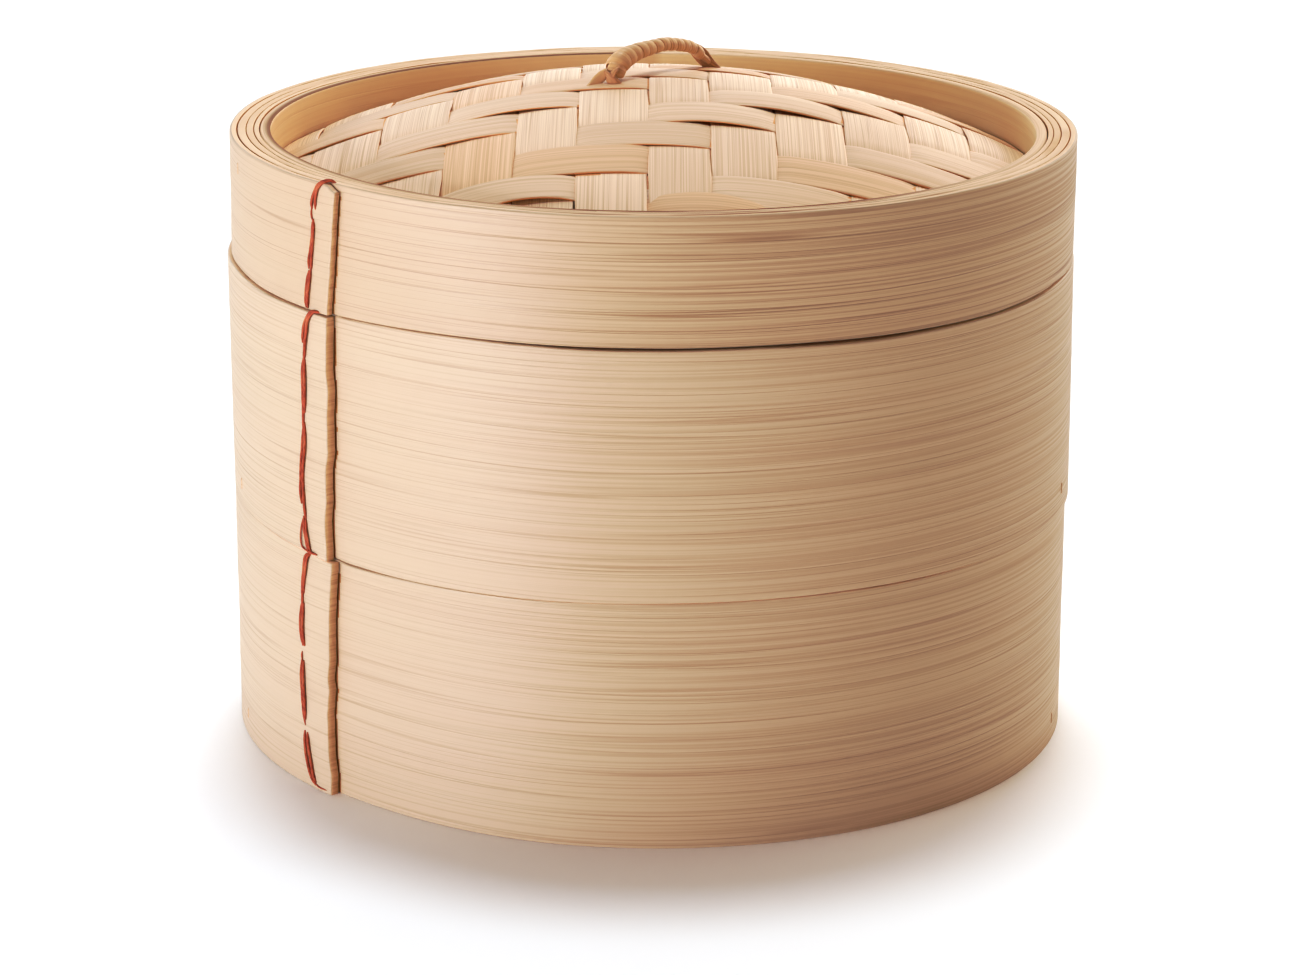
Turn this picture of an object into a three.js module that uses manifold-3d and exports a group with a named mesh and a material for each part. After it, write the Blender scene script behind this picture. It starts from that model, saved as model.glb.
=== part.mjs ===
// Round bamboo steamer: two stacked tiers under a domed, woven lid.
// Millimetres, +Z up, front towards -Y. The origin is the centre of the underside.
// Angles round the wall are degrees from the front, positive towards the right (+X).

import * as THREE from 'three';
import { mergeVertices } from 'three/addons/utils/BufferGeometryUtils.js';
import Module from 'manifold-3d';

const wasm = await Module();
wasm.setup();

// Overall sizes
const OUTER_RADIUS = 100;
const TIER_HEIGHT = 57.5; // from one tier's foot to the foot of what stands on it
const TIER_COUNT = 2;
const LID_WALL_HEIGHT = 29.5;
const FIT = 0.3; // gap between two pieces that touch
const NEST_GAP = 0.4; // above a spigot, below the hoop over it
const NEST_SIDE_GAP = 0.9; // round a spigot, inside the wall over it
const FACETS = 48; // straight steps in one turn of a wall or hoop
const FACET_ANGLE = 360 / FACETS;

// Coiled walls: one long strip, stepping in by its own thickness once a turn
const TIER_TURNS = 3;
const TIER_STRIP = 2.1;
const LID_TURNS = 4;
const LID_STRIP = 1.5;
const LAP_GAP = 0.3; // between one turn and the next
const LAP_ANGLE = -45; // of the outer end of the strip
const STEP_IN_FACETS = 5;
const LAP_BEVEL = 0.5;

// Hoops inside the walls
const HOOP_THICKNESS = 2.5;
const SPIGOT_RISE = 2.6; // above the foot of the next piece
const SPIGOT_BEVEL = 0.5;

// Tier floor
const FLOOR_HEIGHT = 8.5; // underside of the slats
const SLAT_THICKNESS = 2.6;
const SLAT_COUNT = 7;
const SLAT_WIDTH = 17;
const SLAT_GAP = 7.2;
const CROSSBAR_THICKNESS = 4.2;
const CROSSBAR_WIDTH = 10;
const CROSSBAR_OFFSET = 27.6; // of each crossbar's middle, from the centre
const PEG_WIDTH = 2;
const PEG_HEIGHT = 2.8;
const PEG_RECESS = 0.3; // of its head, below the wall's face
const FLOOR_PEG_HEIGHT = 5.6; // middle of the peg, above the tier's foot

// Woven dome of the lid: z falls from the apex with the square of the distance
const DOME_APEX = 39.2; // mid-surface of the weave, above the lid's foot
const DOME_RADIUS = 202; // of curvature
const STRIP_THICKNESS = 0.7;
const WEAVE_LIFT = 0.5; // of a strip above or below the mid-surface where two cross
const STRIP_GAP = 1; // between neighbours
const WARP_PITCH_SHARE = 0.083; // of the width of the woven disc
const WARP_SHIFT_SHARE = 0.286; // of the pitch, from the centre to the middle warp
const WARPS_LEFT = 6;
const WARPS_RIGHT = 5;
const WEFT_PITCH_SHARE = 0.07;
const WEFT_SHIFT_SHARE = -0.192;
const WEFTS_FRONT = 7;
const WEFTS_BACK = 7;
const TWILL_FLOAT = 2; // crossings over, then as many under
const TWILL_START = 1; // shifts the diagonal of the twill
const LINING_THICKNESS = 0.8;
const LINING_DROP = 0.6; // below the undersides of the strips
const LINING_STEPS = 6;
const LID_PEG_FACETS = [3.5, 27.5]; // counted round from the lap edge
const LID_PEG_SHARE = 0.41; // of the upper ring's height, from its foot to the peg's middle

// Handle: a rattan loop through the weave, wrapped in a flat cane
const HANDLE_LEFT_SHARES = [-0.65, -0.154]; // foot from the centre, in pitches of warps and wefts
const HANDLE_RIGHT_SHARES = [0.941, 1.923];
const HANDLE_RISE = 7.5; // of the core's middle, above the weave
const HANDLE_ARCH = [ // share of the span, share of the rise
  [0.02, 0.36], [0.1, 0.68], [0.27, 0.91], [0.46, 1], [0.61, 0.98], [0.77, 0.77], [0.9, 0.43], [0.98, 0.14],
];
const HANDLE_LEG = 10; // turned over below the lining
const HANDLE_BEND = 1.2; // rise of the bend between leg and loop
const HANDLE_CORE_RADIUS = 0.8;
const HANDLE_HOLE_GAP = 0.5;
const HANDLE_SIDES = 6;
const HANDLE_HOLE_SIDES = 8;
const HANDLE_STEPS = 44;
const WRAP_TURNS = 15;
const WRAP_GAP = 0.75; // between one turn of the wrap and the next
const WRAP_SEAT = 0.22; // between the wrap and the core
const WRAP_THICKNESS = 0.5;
const WRAP_CROWN = 0.12;
const WRAP_CLEARANCE = 0.5; // between the wrap's ends and the weave
const WRAP_STEPS = 12;

// Red cord that sews the lap
const CORD_RADIUS = 0.6;
const STITCH_FACETS = 0.5; // counted round from the lap edge
const STITCH_SEAT = 0.3;
const STITCH_SINK = 1.1; // of the cord's middle, below the edge that it hooks over
const STITCH_TURN = 2.9; // below the edge, where the cord has come out to the wall's face
const CORD_SIDES = 6;
const STITCH_STEPS = 26;
const NOTCH_WIDTH = 2;
const NOTCH_DEPTH = 2.2;

// Materials
function finish(color, roughness) {
  return new THREE.MeshStandardMaterial({ color, roughness, metalness: 0 });
}
const materials = {
  wall: finish(0xe0bf92, 0.6),
  hoop: finish(0xd9ab72, 0.62),
  slat: finish(0xe3c79c, 0.6),
  weave: finish(0xe9cda2, 0.55),
  lining: finish(0xc99a62, 0.7),
  rattan: finish(0xb98752, 0.6),
  cord: finish(0xb5482c, 0.8),
};

// Worked out from the sizes above
const wallInner = (turns, strip) => OUTER_RADIUS - turns * strip - (turns - 1) * LAP_GAP;
const tierInner = wallInner(TIER_TURNS, TIER_STRIP);
const lidInner = wallInner(LID_TURNS, LID_STRIP);
const supportBase = SPIGOT_RISE + NEST_GAP;
const facetReach = Math.cos(THREE.MathUtils.degToRad(FACET_ANGLE / 2));

// Helpers
function around(radius, degrees) {
  const angle = THREE.MathUtils.degToRad(degrees);
  return new THREE.Vector2(radius * Math.sin(angle), -radius * Math.cos(angle));
}

function toSolid(geometry) {
  const bare = geometry.clone();
  bare.deleteAttribute('normal');
  bare.deleteAttribute('uv');
  const merged = mergeVertices(bare, 1e-4);
  const index = merged.index.array;
  const faces = [];
  for (let i = 0; i < index.length; i += 3) {
    const [a, b, c] = [index[i], index[i + 1], index[i + 2]];
    if (a !== b && b !== c && c !== a) faces.push(a, b, c);
  }
  const vertProperties = new Float32Array(merged.attributes.position.array);
  return new wasm.Manifold(new wasm.Mesh({ numProp: 3, vertProperties, triVerts: new Uint32Array(faces) }));
}

function fromSolid(solid) {
  const mesh = solid.getMesh();
  const geometry = new THREE.BufferGeometry();
  geometry.setAttribute('position', new THREE.Float32BufferAttribute(mesh.vertProperties, 3));
  geometry.setIndex(Array.from(mesh.triVerts));
  geometry.computeVertexNormals();
  return geometry;
}

// A block whose length runs out from the axis, its middle at a height and radius on the given bearing
function radialBlock(length, width, height, radius, degrees, z) {
  const block = new THREE.BoxGeometry(length, width, height);
  const place = around(radius, degrees);
  block.rotateZ(THREE.MathUtils.degToRad(degrees - 90));
  block.translate(place.x, place.y, z);
  return block;
}

function ring(profile) {
  const closed = [...profile, profile[0]].map(([r, z]) => new THREE.Vector2(r, z));
  const geometry = new THREE.LatheGeometry(closed, FACETS);
  geometry.rotateX(Math.PI / 2);
  geometry.rotateZ(THREE.MathUtils.degToRad(LAP_ANGLE));
  return geometry;
}

function disc(radius, height) {
  const geometry = new THREE.CylinderGeometry(radius, radius, height, FACETS);
  geometry.rotateX(Math.PI / 2);
  geometry.rotateZ(THREE.MathUtils.degToRad(LAP_ANGLE));
  return geometry;
}

// A tube with closed ends along a curve
function tube(curve, radius, sides, steps) {
  const section = new THREE.Shape();
  for (let i = 0; i < sides; i += 1) {
    const angle = (2 * Math.PI * i) / sides;
    const [x, y] = [radius * Math.cos(angle), radius * Math.sin(angle)];
    if (i === 0) section.moveTo(x, y);
    else section.lineTo(x, y);
  }
  section.closePath();
  return new THREE.ExtrudeGeometry(section, { steps, extrudePath: curve, bevelEnabled: false });
}

// Rings of equal point count, joined into one closed body; every ring runs the same way round
function loft(rings) {
  const count = rings[0].length;
  const points = rings.flat();
  const faces = [];
  for (let i = 0; i + 1 < rings.length; i += 1) {
    for (let j = 0; j < count; j += 1) {
      const a = i * count + j;
      const b = i * count + ((j + 1) % count);
      faces.push(a, b, a + count, b, b + count, a + count);
    }
  }
  const last = (rings.length - 1) * count;
  for (let j = 1; j + 1 < count; j += 1) {
    faces.push(0, j + 1, j);
    faces.push(last, last + j, last + j + 1);
  }
  const geometry = new THREE.BufferGeometry().setFromPoints(points);
  geometry.setIndex(faces);
  geometry.computeVertexNormals();
  return geometry;
}

const steamer = new THREE.Group();

function add(group, name, geometry, material) {
  const mesh = new THREE.Mesh(geometry, material);
  mesh.name = name;
  group.add(mesh);
}

// Coiled wall
function coilRadius(step, strip) {
  const turn = Math.floor(step / FACETS);
  const into = Math.max(0, (step % FACETS) - (FACETS - STEP_IN_FACETS)) / STEP_IN_FACETS;
  return OUTER_RADIUS - (turn + into) * (strip + LAP_GAP);
}

function coilOutline(turns, strip) {
  const steps = turns * FACETS - STEP_IN_FACETS;
  const outline = [];
  const bevelAngle = THREE.MathUtils.radToDeg(LAP_BEVEL / OUTER_RADIUS);
  outline.push(around(OUTER_RADIUS - LAP_BEVEL, LAP_ANGLE));
  outline.push(around(OUTER_RADIUS, LAP_ANGLE - bevelAngle));
  for (let i = 1; i <= steps; i += 1) {
    outline.push(around(coilRadius(i, strip), LAP_ANGLE - i * FACET_ANGLE));
  }
  for (let i = steps; i >= 0; i -= 1) {
    outline.push(around(coilRadius(i, strip) - strip, LAP_ANGLE - i * FACET_ANGLE));
  }
  return new THREE.Shape(outline);
}

function stitchAngle() {
  return LAP_ANGLE - STITCH_FACETS * FACET_ANGLE;
}

function notches(strip, height) {
  const reach = strip + LAP_GAP / 2;
  const length = 2 * reach;
  return [0, height].map((z) => radialBlock(
    length, NOTCH_WIDTH, 2 * NOTCH_DEPTH, OUTER_RADIUS * facetReach, stitchAngle(), z));
}

function coiledWall(turns, strip, height, holes) {
  const wall = new THREE.ExtrudeGeometry(coilOutline(turns, strip), { depth: height, bevelEnabled: false });
  let solid = toSolid(wall);
  for (const hole of [...holes, ...notches(strip, height)]) {
    solid = solid.subtract(toSolid(hole));
  }
  return fromSolid(solid);
}

// The cord hooks over the wall's top edge, runs down its face and hooks under its bottom edge
function stitch(strip, height) {
  const face = OUTER_RADIUS * facetReach;
  const out = face + STITCH_SEAT + CORD_RADIUS;
  const tucked = face - strip / 2;
  const route = [
    [tucked, STITCH_SINK], [face, STITCH_SINK], [out, STITCH_TURN],
    [out, height / 2],
    [out, height - STITCH_TURN], [face, height - STITCH_SINK], [tucked, height - STITCH_SINK],
  ];
  const points = route.map(([radius, z]) => {
    const place = around(radius, stitchAngle());
    return new THREE.Vector3(place.x, place.y, z);
  });
  return tube(new THREE.CatmullRomCurve3(points), CORD_RADIUS, CORD_SIDES, STITCH_STEPS);
}

// Tier
function crossbarHoles() {
  return [-CROSSBAR_OFFSET, CROSSBAR_OFFSET].map((y) => {
    const hole = new THREE.BoxGeometry(2.2 * OUTER_RADIUS, PEG_WIDTH + 2 * FIT, PEG_HEIGHT + 2 * FIT);
    hole.translate(0, y, FLOOR_PEG_HEIGHT);
    return hole;
  });
}

function supportHoop() {
  const outer = tierInner - FIT;
  const inner = outer - HOOP_THICKNESS;
  const top = FLOOR_HEIGHT - FIT;
  let solid = toSolid(ring([[inner, supportBase], [outer, supportBase], [outer, top], [inner, top]]));
  for (const hole of crossbarHoles()) {
    solid = solid.subtract(toSolid(hole));
  }
  return fromSolid(solid);
}

function spigotHoop() {
  const outer = tierInner - FIT;
  const inner = outer - HOOP_THICKNESS;
  const spigot = Math.min(tierInner, lidInner) - NEST_SIDE_GAP;
  const base = FLOOR_HEIGHT + SLAT_THICKNESS + FIT;
  const shoulder = TIER_HEIGHT - FIT;
  const top = TIER_HEIGHT + SPIGOT_RISE;
  return ring([
    [inner, base], [outer, base], [outer, shoulder], [spigot, shoulder],
    [spigot, top - SPIGOT_BEVEL], [spigot - SPIGOT_BEVEL, top], [inner, top],
  ]);
}

function slat(middle) {
  const reach = (tierInner - FIT) * facetReach;
  const half = SLAT_WIDTH / 2;
  const end = (x) => Math.sqrt(reach ** 2 - x ** 2);
  const stations = [middle - half, middle, middle + half];
  const front = stations.map((x) => new THREE.Vector2(x, -end(x)));
  const back = stations.reverse().map((x) => new THREE.Vector2(x, end(x)));
  const board = new THREE.ExtrudeGeometry(new THREE.Shape([...front, ...back]), {
    depth: SLAT_THICKNESS, bevelEnabled: false,
  });
  board.translate(0, 0, FLOOR_HEIGHT);
  return board;
}

// A bar between the sides of the support hoop, with the peg that pins each end through the wall
function crossbar(y) {
  const hoopInner = (tierInner - FIT - HOOP_THICKNESS) * facetReach;
  const outerEdge = Math.abs(y) + CROSSBAR_WIDTH / 2;
  const halfLength = Math.sqrt(hoopInner ** 2 - outerEdge ** 2) - FIT;
  const bar = new THREE.BoxGeometry(2 * halfLength, CROSSBAR_WIDTH, CROSSBAR_THICKNESS);
  bar.translate(0, y, FLOOR_HEIGHT - FIT - CROSSBAR_THICKNESS / 2);
  const pegEdge = Math.abs(y) + PEG_WIDTH / 2;
  const pegReach = Math.sqrt((OUTER_RADIUS * facetReach) ** 2 - pegEdge ** 2) - PEG_RECESS;
  const peg = new THREE.BoxGeometry(2 * pegReach, PEG_WIDTH, PEG_HEIGHT);
  peg.translate(0, y, FLOOR_PEG_HEIGHT);
  return fromSolid(toSolid(bar).add(toSolid(peg)));
}

function makeTier(name, base) {
  const tier = new THREE.Group();
  tier.position.z = base;
  const height = TIER_HEIGHT - FIT;
  add(tier, `${name}_wall`, coiledWall(TIER_TURNS, TIER_STRIP, height, crossbarHoles()), materials.wall);
  add(tier, `${name}_spigot_hoop`, spigotHoop(), materials.hoop);
  add(tier, `${name}_support_hoop`, supportHoop(), materials.hoop);
  add(tier, `${name}_stitch`, stitch(TIER_STRIP, height), materials.cord);
  add(tier, `${name}_crossbar_front`, crossbar(-CROSSBAR_OFFSET), materials.slat);
  add(tier, `${name}_crossbar_back`, crossbar(CROSSBAR_OFFSET), materials.slat);
  for (let i = 0; i < SLAT_COUNT; i += 1) {
    const middle = (i - (SLAT_COUNT - 1) / 2) * (SLAT_WIDTH + SLAT_GAP);
    add(tier, `${name}_slat_${i + 1}`, slat(middle), materials.slat);
  }
  steamer.add(tier);
}

// Weave of the lid
const weaveRadius = lidInner - FIT;

function domeHeight(x, y) {
  return DOME_APEX - (x ** 2 + y ** 2) / (2 * DOME_RADIUS);
}

// Where a warp and a weft cross, the warp is on top for two crossings and below for the next two
function warpIsOver(warp, weft) {
  const period = 2 * TWILL_FLOAT;
  const phase = weft - warp + TWILL_START;
  return ((phase % period) + period) % period < TWILL_FLOAT;
}

function weaveFamily(pitchShare, shiftShare, first, last) {
  const pitch = 2 * weaveRadius * pitchShare;
  return { pitch, shift: shiftShare * pitch, first, last };
}

const weaveFamilies = {
  warp: weaveFamily(WARP_PITCH_SHARE, WARP_SHIFT_SHARE, -WARPS_LEFT, WARPS_RIGHT),
  weft: weaveFamily(WEFT_PITCH_SHARE, WEFT_SHIFT_SHARE, -WEFTS_FRONT, WEFTS_BACK),
};

function handleFoot([warps, wefts]) {
  return new THREE.Vector2(warps * weaveFamilies.warp.pitch, wefts * weaveFamilies.weft.pitch);
}

const handleLeft = handleFoot(HANDLE_LEFT_SHARES);
const handleRight = handleFoot(HANDLE_RIGHT_SHARES);

function stripEdges(family, number) {
  const middle = family.shift + number * family.pitch;
  const half = (family.pitch - STRIP_GAP) / 2;
  return [middle - half, middle + half];
}

// A strip has a station at both edges of each strip that it crosses, so the two lie flat on each other there
function weaveStrip(kind, number) {
  const own = weaveFamilies[kind];
  const other = weaveFamilies[kind === 'warp' ? 'weft' : 'warp'];
  const [left, right] = stripEdges(own, number);
  const place = (along, across) => (kind === 'warp' ? [across, along] : [along, across]);
  const nearest = left * right < 0 ? 0 : Math.min(Math.abs(left), Math.abs(right));
  const reach = Math.sqrt(Math.max(0, lidInner ** 2 - nearest ** 2));
  const rings = [];
  const firstOther = Math.floor((-reach - other.shift) / other.pitch + 0.5);
  const lastOther = Math.ceil((reach - other.shift) / other.pitch - 0.5);
  for (let crossing = firstOther; crossing <= lastOther; crossing += 1) {
    const over = kind === 'warp' ? warpIsOver(number, crossing) : !warpIsOver(crossing, number);
    const lift = over ? WEAVE_LIFT : -WEAVE_LIFT;
    for (const along of stripEdges(other, crossing)) {
      const corners = [[left, -1], [right, -1], [right, 1], [left, 1]];
      rings.push(corners.map(([across, side]) => {
        const [x, y] = place(along, across);
        return new THREE.Vector3(x, y, domeHeight(x, y) + lift + (side * STRIP_THICKNESS) / 2);
      }));
    }
  }
  const body = kind === 'warp' ? loft(rings.reverse()) : loft(rings);
  return toSolid(body).intersect(toSolid(disc(weaveRadius, 4 * DOME_APEX)));
}

function handleHoles() {
  return [handleLeft, handleRight].map((foot) => {
    const radius = HANDLE_CORE_RADIUS + HANDLE_HOLE_GAP;
    const hole = new THREE.CylinderGeometry(radius, radius, 2 * DOME_APEX, HANDLE_HOLE_SIDES);
    hole.rotateX(Math.PI / 2);
    hole.translate(foot.x, foot.y, DOME_APEX);
    return hole;
  });
}

const liningTop = -(WEAVE_LIFT + STRIP_THICKNESS / 2 + LINING_DROP);
const liningBottom = liningTop - LINING_THICKNESS;

function lining() {
  const profile = [];
  for (let i = 0; i <= LINING_STEPS; i += 1) {
    const r = (weaveRadius * i) / LINING_STEPS;
    profile.push(new THREE.Vector2(r, domeHeight(r, 0) + liningBottom));
  }
  for (let i = LINING_STEPS; i >= 0; i -= 1) {
    const r = (weaveRadius * i) / LINING_STEPS;
    profile.push(new THREE.Vector2(r, domeHeight(r, 0) + liningTop));
  }
  const sheet = new THREE.LatheGeometry(profile, FACETS);
  sheet.rotateX(Math.PI / 2);
  sheet.rotateZ(THREE.MathUtils.degToRad(LAP_ANGLE));
  let solid = toSolid(sheet);
  for (const hole of handleHoles()) {
    solid = solid.subtract(toSolid(hole));
  }
  return fromSolid(solid);
}

// Lid rings: the lower one carries the weave, the upper one holds it down
const ringOuter = lidInner - FIT;
const ringInner = ringOuter - HOOP_THICKNESS;

function lowerRing() {
  const top = (r) => domeHeight(r, 0) + liningBottom - FIT;
  return ring([
    [ringInner, supportBase], [ringOuter, supportBase],
    [ringOuter, top(ringOuter)], [ringInner, top(ringInner)],
  ]);
}

function upperRingFoot(r) {
  return domeHeight(r, 0) + WEAVE_LIFT + STRIP_THICKNESS / 2 + FIT;
}

// The blocks of the two pegs, or with extra width and negative recess the holes that they pass through
function lidPegBlocks(extra, recess) {
  const outer = OUTER_RADIUS * facetReach - recess;
  const inner = ringInner + HOOP_THICKNESS / 2;
  const z = THREE.MathUtils.lerp(upperRingFoot(ringInner), LID_WALL_HEIGHT, LID_PEG_SHARE);
  return LID_PEG_FACETS.map((facets) => radialBlock(
    outer - inner, PEG_WIDTH + extra, PEG_HEIGHT + extra,
    (outer + inner) / 2, LAP_ANGLE - facets * FACET_ANGLE, z));
}

function upperRing() {
  let solid = toSolid(ring([
    [ringInner, upperRingFoot(ringInner)], [ringOuter, upperRingFoot(ringOuter)],
    [ringOuter, LID_WALL_HEIGHT], [ringInner, LID_WALL_HEIGHT],
  ]));
  for (const peg of lidPegBlocks(0, PEG_RECESS)) {
    solid = solid.add(toSolid(peg));
  }
  return fromSolid(solid);
}

// Handle
function handleCurve() {
  const span = handleRight.clone().sub(handleLeft);
  const along = span.clone().normalize();
  const under = liningBottom - FIT - HANDLE_CORE_RADIUS - HANDLE_HOLE_GAP;
  const at = (plan, rise) => new THREE.Vector3(plan.x, plan.y, domeHeight(plan.x, plan.y) + rise);
  const beside = (foot, distance) => foot.clone().addScaledVector(along, distance);
  const arch = HANDLE_ARCH.map(([share, height]) => {
    const plan = handleLeft.clone().addScaledVector(span, share);
    const left = domeHeight(handleLeft.x, handleLeft.y);
    const right = domeHeight(handleRight.x, handleRight.y);
    const straight = THREE.MathUtils.lerp(left, right, share);
    return new THREE.Vector3(plan.x, plan.y, straight + WEAVE_LIFT + HANDLE_RISE * height);
  });
  return new THREE.CatmullRomCurve3([
    at(beside(handleLeft, -HANDLE_LEG), under),
    at(beside(handleLeft, -2 * HANDLE_BEND), under),
    at(beside(handleLeft, -HANDLE_BEND / 4), under + HANDLE_BEND / 2),
    at(handleLeft, liningBottom + HANDLE_BEND),
    at(handleLeft, WEAVE_LIFT + STRIP_THICKNESS),
    ...arch,
    at(handleRight, WEAVE_LIFT),
    at(handleRight, liningBottom + HANDLE_BEND / 2),
    at(beside(handleRight, HANDLE_BEND / 4), under + HANDLE_BEND / 2),
    at(beside(handleRight, 2 * HANDLE_BEND), under),
    at(beside(handleRight, HANDLE_LEG), under),
  ]);
}

const WRAP_SAMPLES = 400;
const handlePath = handleCurve();
handlePath.arcLengthDivisions = WRAP_SAMPLES;
const handleFrames = handlePath.computeFrenetFrames(WRAP_SAMPLES);

// A point beside the handle's middle line: share of its length, turn round it and distance from it
function besideHandle(share, angle, distance) {
  const scaled = THREE.MathUtils.clamp(share, 0, 1) * WRAP_SAMPLES;
  const i = Math.min(WRAP_SAMPLES - 1, Math.floor(scaled));
  const between = (vectors) => vectors[i].clone().lerp(vectors[i + 1], scaled - i).normalize();
  const normal = between(handleFrames.normals);
  const binormal = between(handleFrames.binormals);
  return handlePath.getPointAt(share)
    .addScaledVector(normal, distance * Math.cos(angle))
    .addScaledVector(binormal, distance * Math.sin(angle));
}

const wrapRadius = HANDLE_CORE_RADIUS + WRAP_SEAT + WRAP_THICKNESS + WRAP_CROWN;

// The wrap starts and ends where a whole turn of it stands clear above the weave
function wrapSpan() {
  const clear = [];
  for (let i = 0; i <= WRAP_SAMPLES; i += 1) {
    const share = i / WRAP_SAMPLES;
    const point = handlePath.getPointAt(share);
    const lean = Math.sqrt(1 - handlePath.getTangentAt(share).z ** 2);
    const top = domeHeight(point.x, point.y) + WEAVE_LIFT + STRIP_THICKNESS / 2;
    if (point.z - lean * wrapRadius > top + WRAP_CLEARANCE) clear.push(share);
  }
  return [clear[0], clear[clear.length - 1]];
}

function handleWrap() {
  const [start, end] = wrapSpan();
  const length = handlePath.getLength();
  const gapShare = WRAP_GAP / length;
  const pitch = (end - start + gapShare) / (WRAP_TURNS + 1);
  const width = pitch - gapShare;
  const inner = HANDLE_CORE_RADIUS + WRAP_SEAT;
  const outer = inner + WRAP_THICKNESS;
  const section = [[0, inner], [0, outer], [0.5, outer + WRAP_CROWN], [1, outer], [1, inner], [0.5, inner]];
  const rings = [];
  const steps = WRAP_TURNS * WRAP_STEPS;
  for (let i = 0; i <= steps; i += 1) {
    const from = start + (pitch * i) / WRAP_STEPS;
    const angle = (2 * Math.PI * i) / WRAP_STEPS;
    rings.push(section.map(([part, distance]) => besideHandle(from + part * width, angle, distance)));
  }
  printWrapGap(rings);
  return loft(rings.map((points) => points.reverse()));
}

// Least distance between the near edges of one turn and the next, measured on points
function printWrapGap(rings) {
  let least = Infinity;
  const edgePoints = (from, to) => [0, 0.2, 0.4, 0.6, 0.8, 1].map((share) => from.clone().lerp(to, share));
  for (let i = 0; i + WRAP_STEPS < rings.length; i += 1) {
    const [, , , outerCorner, innerCorner] = rings[i];
    const near = edgePoints(outerCorner, innerCorner);
    for (let j = i + WRAP_STEPS - 2; j <= Math.min(rings.length - 1, i + WRAP_STEPS + 2); j += 1) {
      const far = edgePoints(rings[j][0], rings[j][1]);
      for (const a of near) for (const b of far) least = Math.min(least, a.distanceTo(b));
    }
  }
  console.log(`handle wrap: least gap to itself ${least.toFixed(2)} mm`);
}

function makeLid(base) {
  const lid = new THREE.Group();
  lid.position.z = base;
  const pegHoles = lidPegBlocks(2 * FIT, -HOOP_THICKNESS);
  add(lid, 'lid_wall', coiledWall(LID_TURNS, LID_STRIP, LID_WALL_HEIGHT, pegHoles), materials.wall);
  add(lid, 'lid_upper_ring', upperRing(), materials.hoop);
  add(lid, 'lid_lower_ring', lowerRing(), materials.hoop);
  add(lid, 'lid_lining', lining(), materials.lining);
  add(lid, 'lid_stitch', stitch(LID_STRIP, LID_WALL_HEIGHT), materials.cord);
  const holes = handleHoles().map(toSolid);
  for (const [kind, family] of Object.entries(weaveFamilies)) {
    for (let number = family.first; number <= family.last; number += 1) {
      let solid = weaveStrip(kind, number);
      for (const hole of holes) {
        solid = solid.subtract(hole);
      }
      const label = String(number - family.first + 1).padStart(2, '0');
      add(lid, `lid_${kind}_${label}`, fromSolid(solid), materials.weave);
    }
  }
  add(lid, 'handle_core', tube(handlePath, HANDLE_CORE_RADIUS, HANDLE_SIDES, HANDLE_STEPS), materials.rattan);
  add(lid, 'handle_wrap', handleWrap(), materials.rattan);
  steamer.add(lid);
}

makeTier('lower_tier', 0);
makeTier('upper_tier', TIER_HEIGHT);
makeLid(TIER_COUNT * TIER_HEIGHT);

export default steamer;
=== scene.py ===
# Looks of a round bamboo steamer: two coiled tiers under a domed, woven lid with a rattan handle.
# Sizes are in millimetres and turn into metres in place(). Angles round the wall are degrees from the
# front, positive towards the right.

import math

import bpy
import numpy as np
from mathutils import Matrix, Vector


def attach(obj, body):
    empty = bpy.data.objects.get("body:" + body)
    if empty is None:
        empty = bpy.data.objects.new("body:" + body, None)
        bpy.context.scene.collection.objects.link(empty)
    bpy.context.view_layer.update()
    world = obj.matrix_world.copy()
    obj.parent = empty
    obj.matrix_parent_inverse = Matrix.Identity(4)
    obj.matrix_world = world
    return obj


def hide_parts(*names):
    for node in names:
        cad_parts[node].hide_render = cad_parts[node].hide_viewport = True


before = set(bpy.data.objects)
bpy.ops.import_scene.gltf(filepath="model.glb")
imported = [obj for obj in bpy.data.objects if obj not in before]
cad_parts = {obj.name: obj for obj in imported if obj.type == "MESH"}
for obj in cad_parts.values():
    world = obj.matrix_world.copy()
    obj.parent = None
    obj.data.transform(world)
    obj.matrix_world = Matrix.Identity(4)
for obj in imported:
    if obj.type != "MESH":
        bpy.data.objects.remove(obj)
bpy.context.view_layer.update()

MM = 0.001

# Sizes shared with the frame
OUTER_RADIUS = 100.0
TIER_HEIGHT = 57.5
TIER_COUNT = 2
LID_BASE = TIER_HEIGHT * TIER_COUNT
LID_HEIGHT = 29.5
FIT = 0.3
WALL_INNER = 93.1
WALL_THICKNESS = OUTER_RADIUS - WALL_INNER
HOOP_THICKNESS = 2.5
HOOP_OUTER = WALL_INNER - FIT
HOOP_INNER = HOOP_OUTER - HOOP_THICKNESS
FACET_SHARE = math.cos(math.radians(3.75))
HOOP_WOBBLE = 0.06
SPIGOT_RISE = 2.6
SPIGOT_OUTER = WALL_INNER - 0.9
SUPPORT_BASE = 3.0
FLOOR_HEIGHT = 8.5
SLAT_THICKNESS = 2.6
SLAT_WIDTH = 17.0
SLAT_PITCH = 24.2
SLAT_COUNT = 7
BAR_OFFSET = 27.6
BAR_WIDTH = 10.0
BAR_THICKNESS = 4.2
PEG_WIDTH = 1.2
PEG_HEIGHT = 2.8
FLOOR_PEG_Z = 5.6
LID_PEG_Z = 24.0
LID_PEG_ANGLES = (-73.2, 108.75)

# Coiled walls: the strip starts at the lap and steps in before each full turn. Each turn has an outer radius
# and a thickness
LAP_ANGLE = -45.0
STEP_IN = 37.5
TIER_LAYERS = [(100.0, 2.37), (97.6, 2.37), (95.2, 2.1)]
LID_LAYERS = [(100.0, 1.72), (98.25, 2.07), (96.15, 1.77), (94.35, 1.25)]
EDGE_ROUND = 0.45
FOOT_ROUND = 0.2
FOOT_WEAR = 0.1

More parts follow.
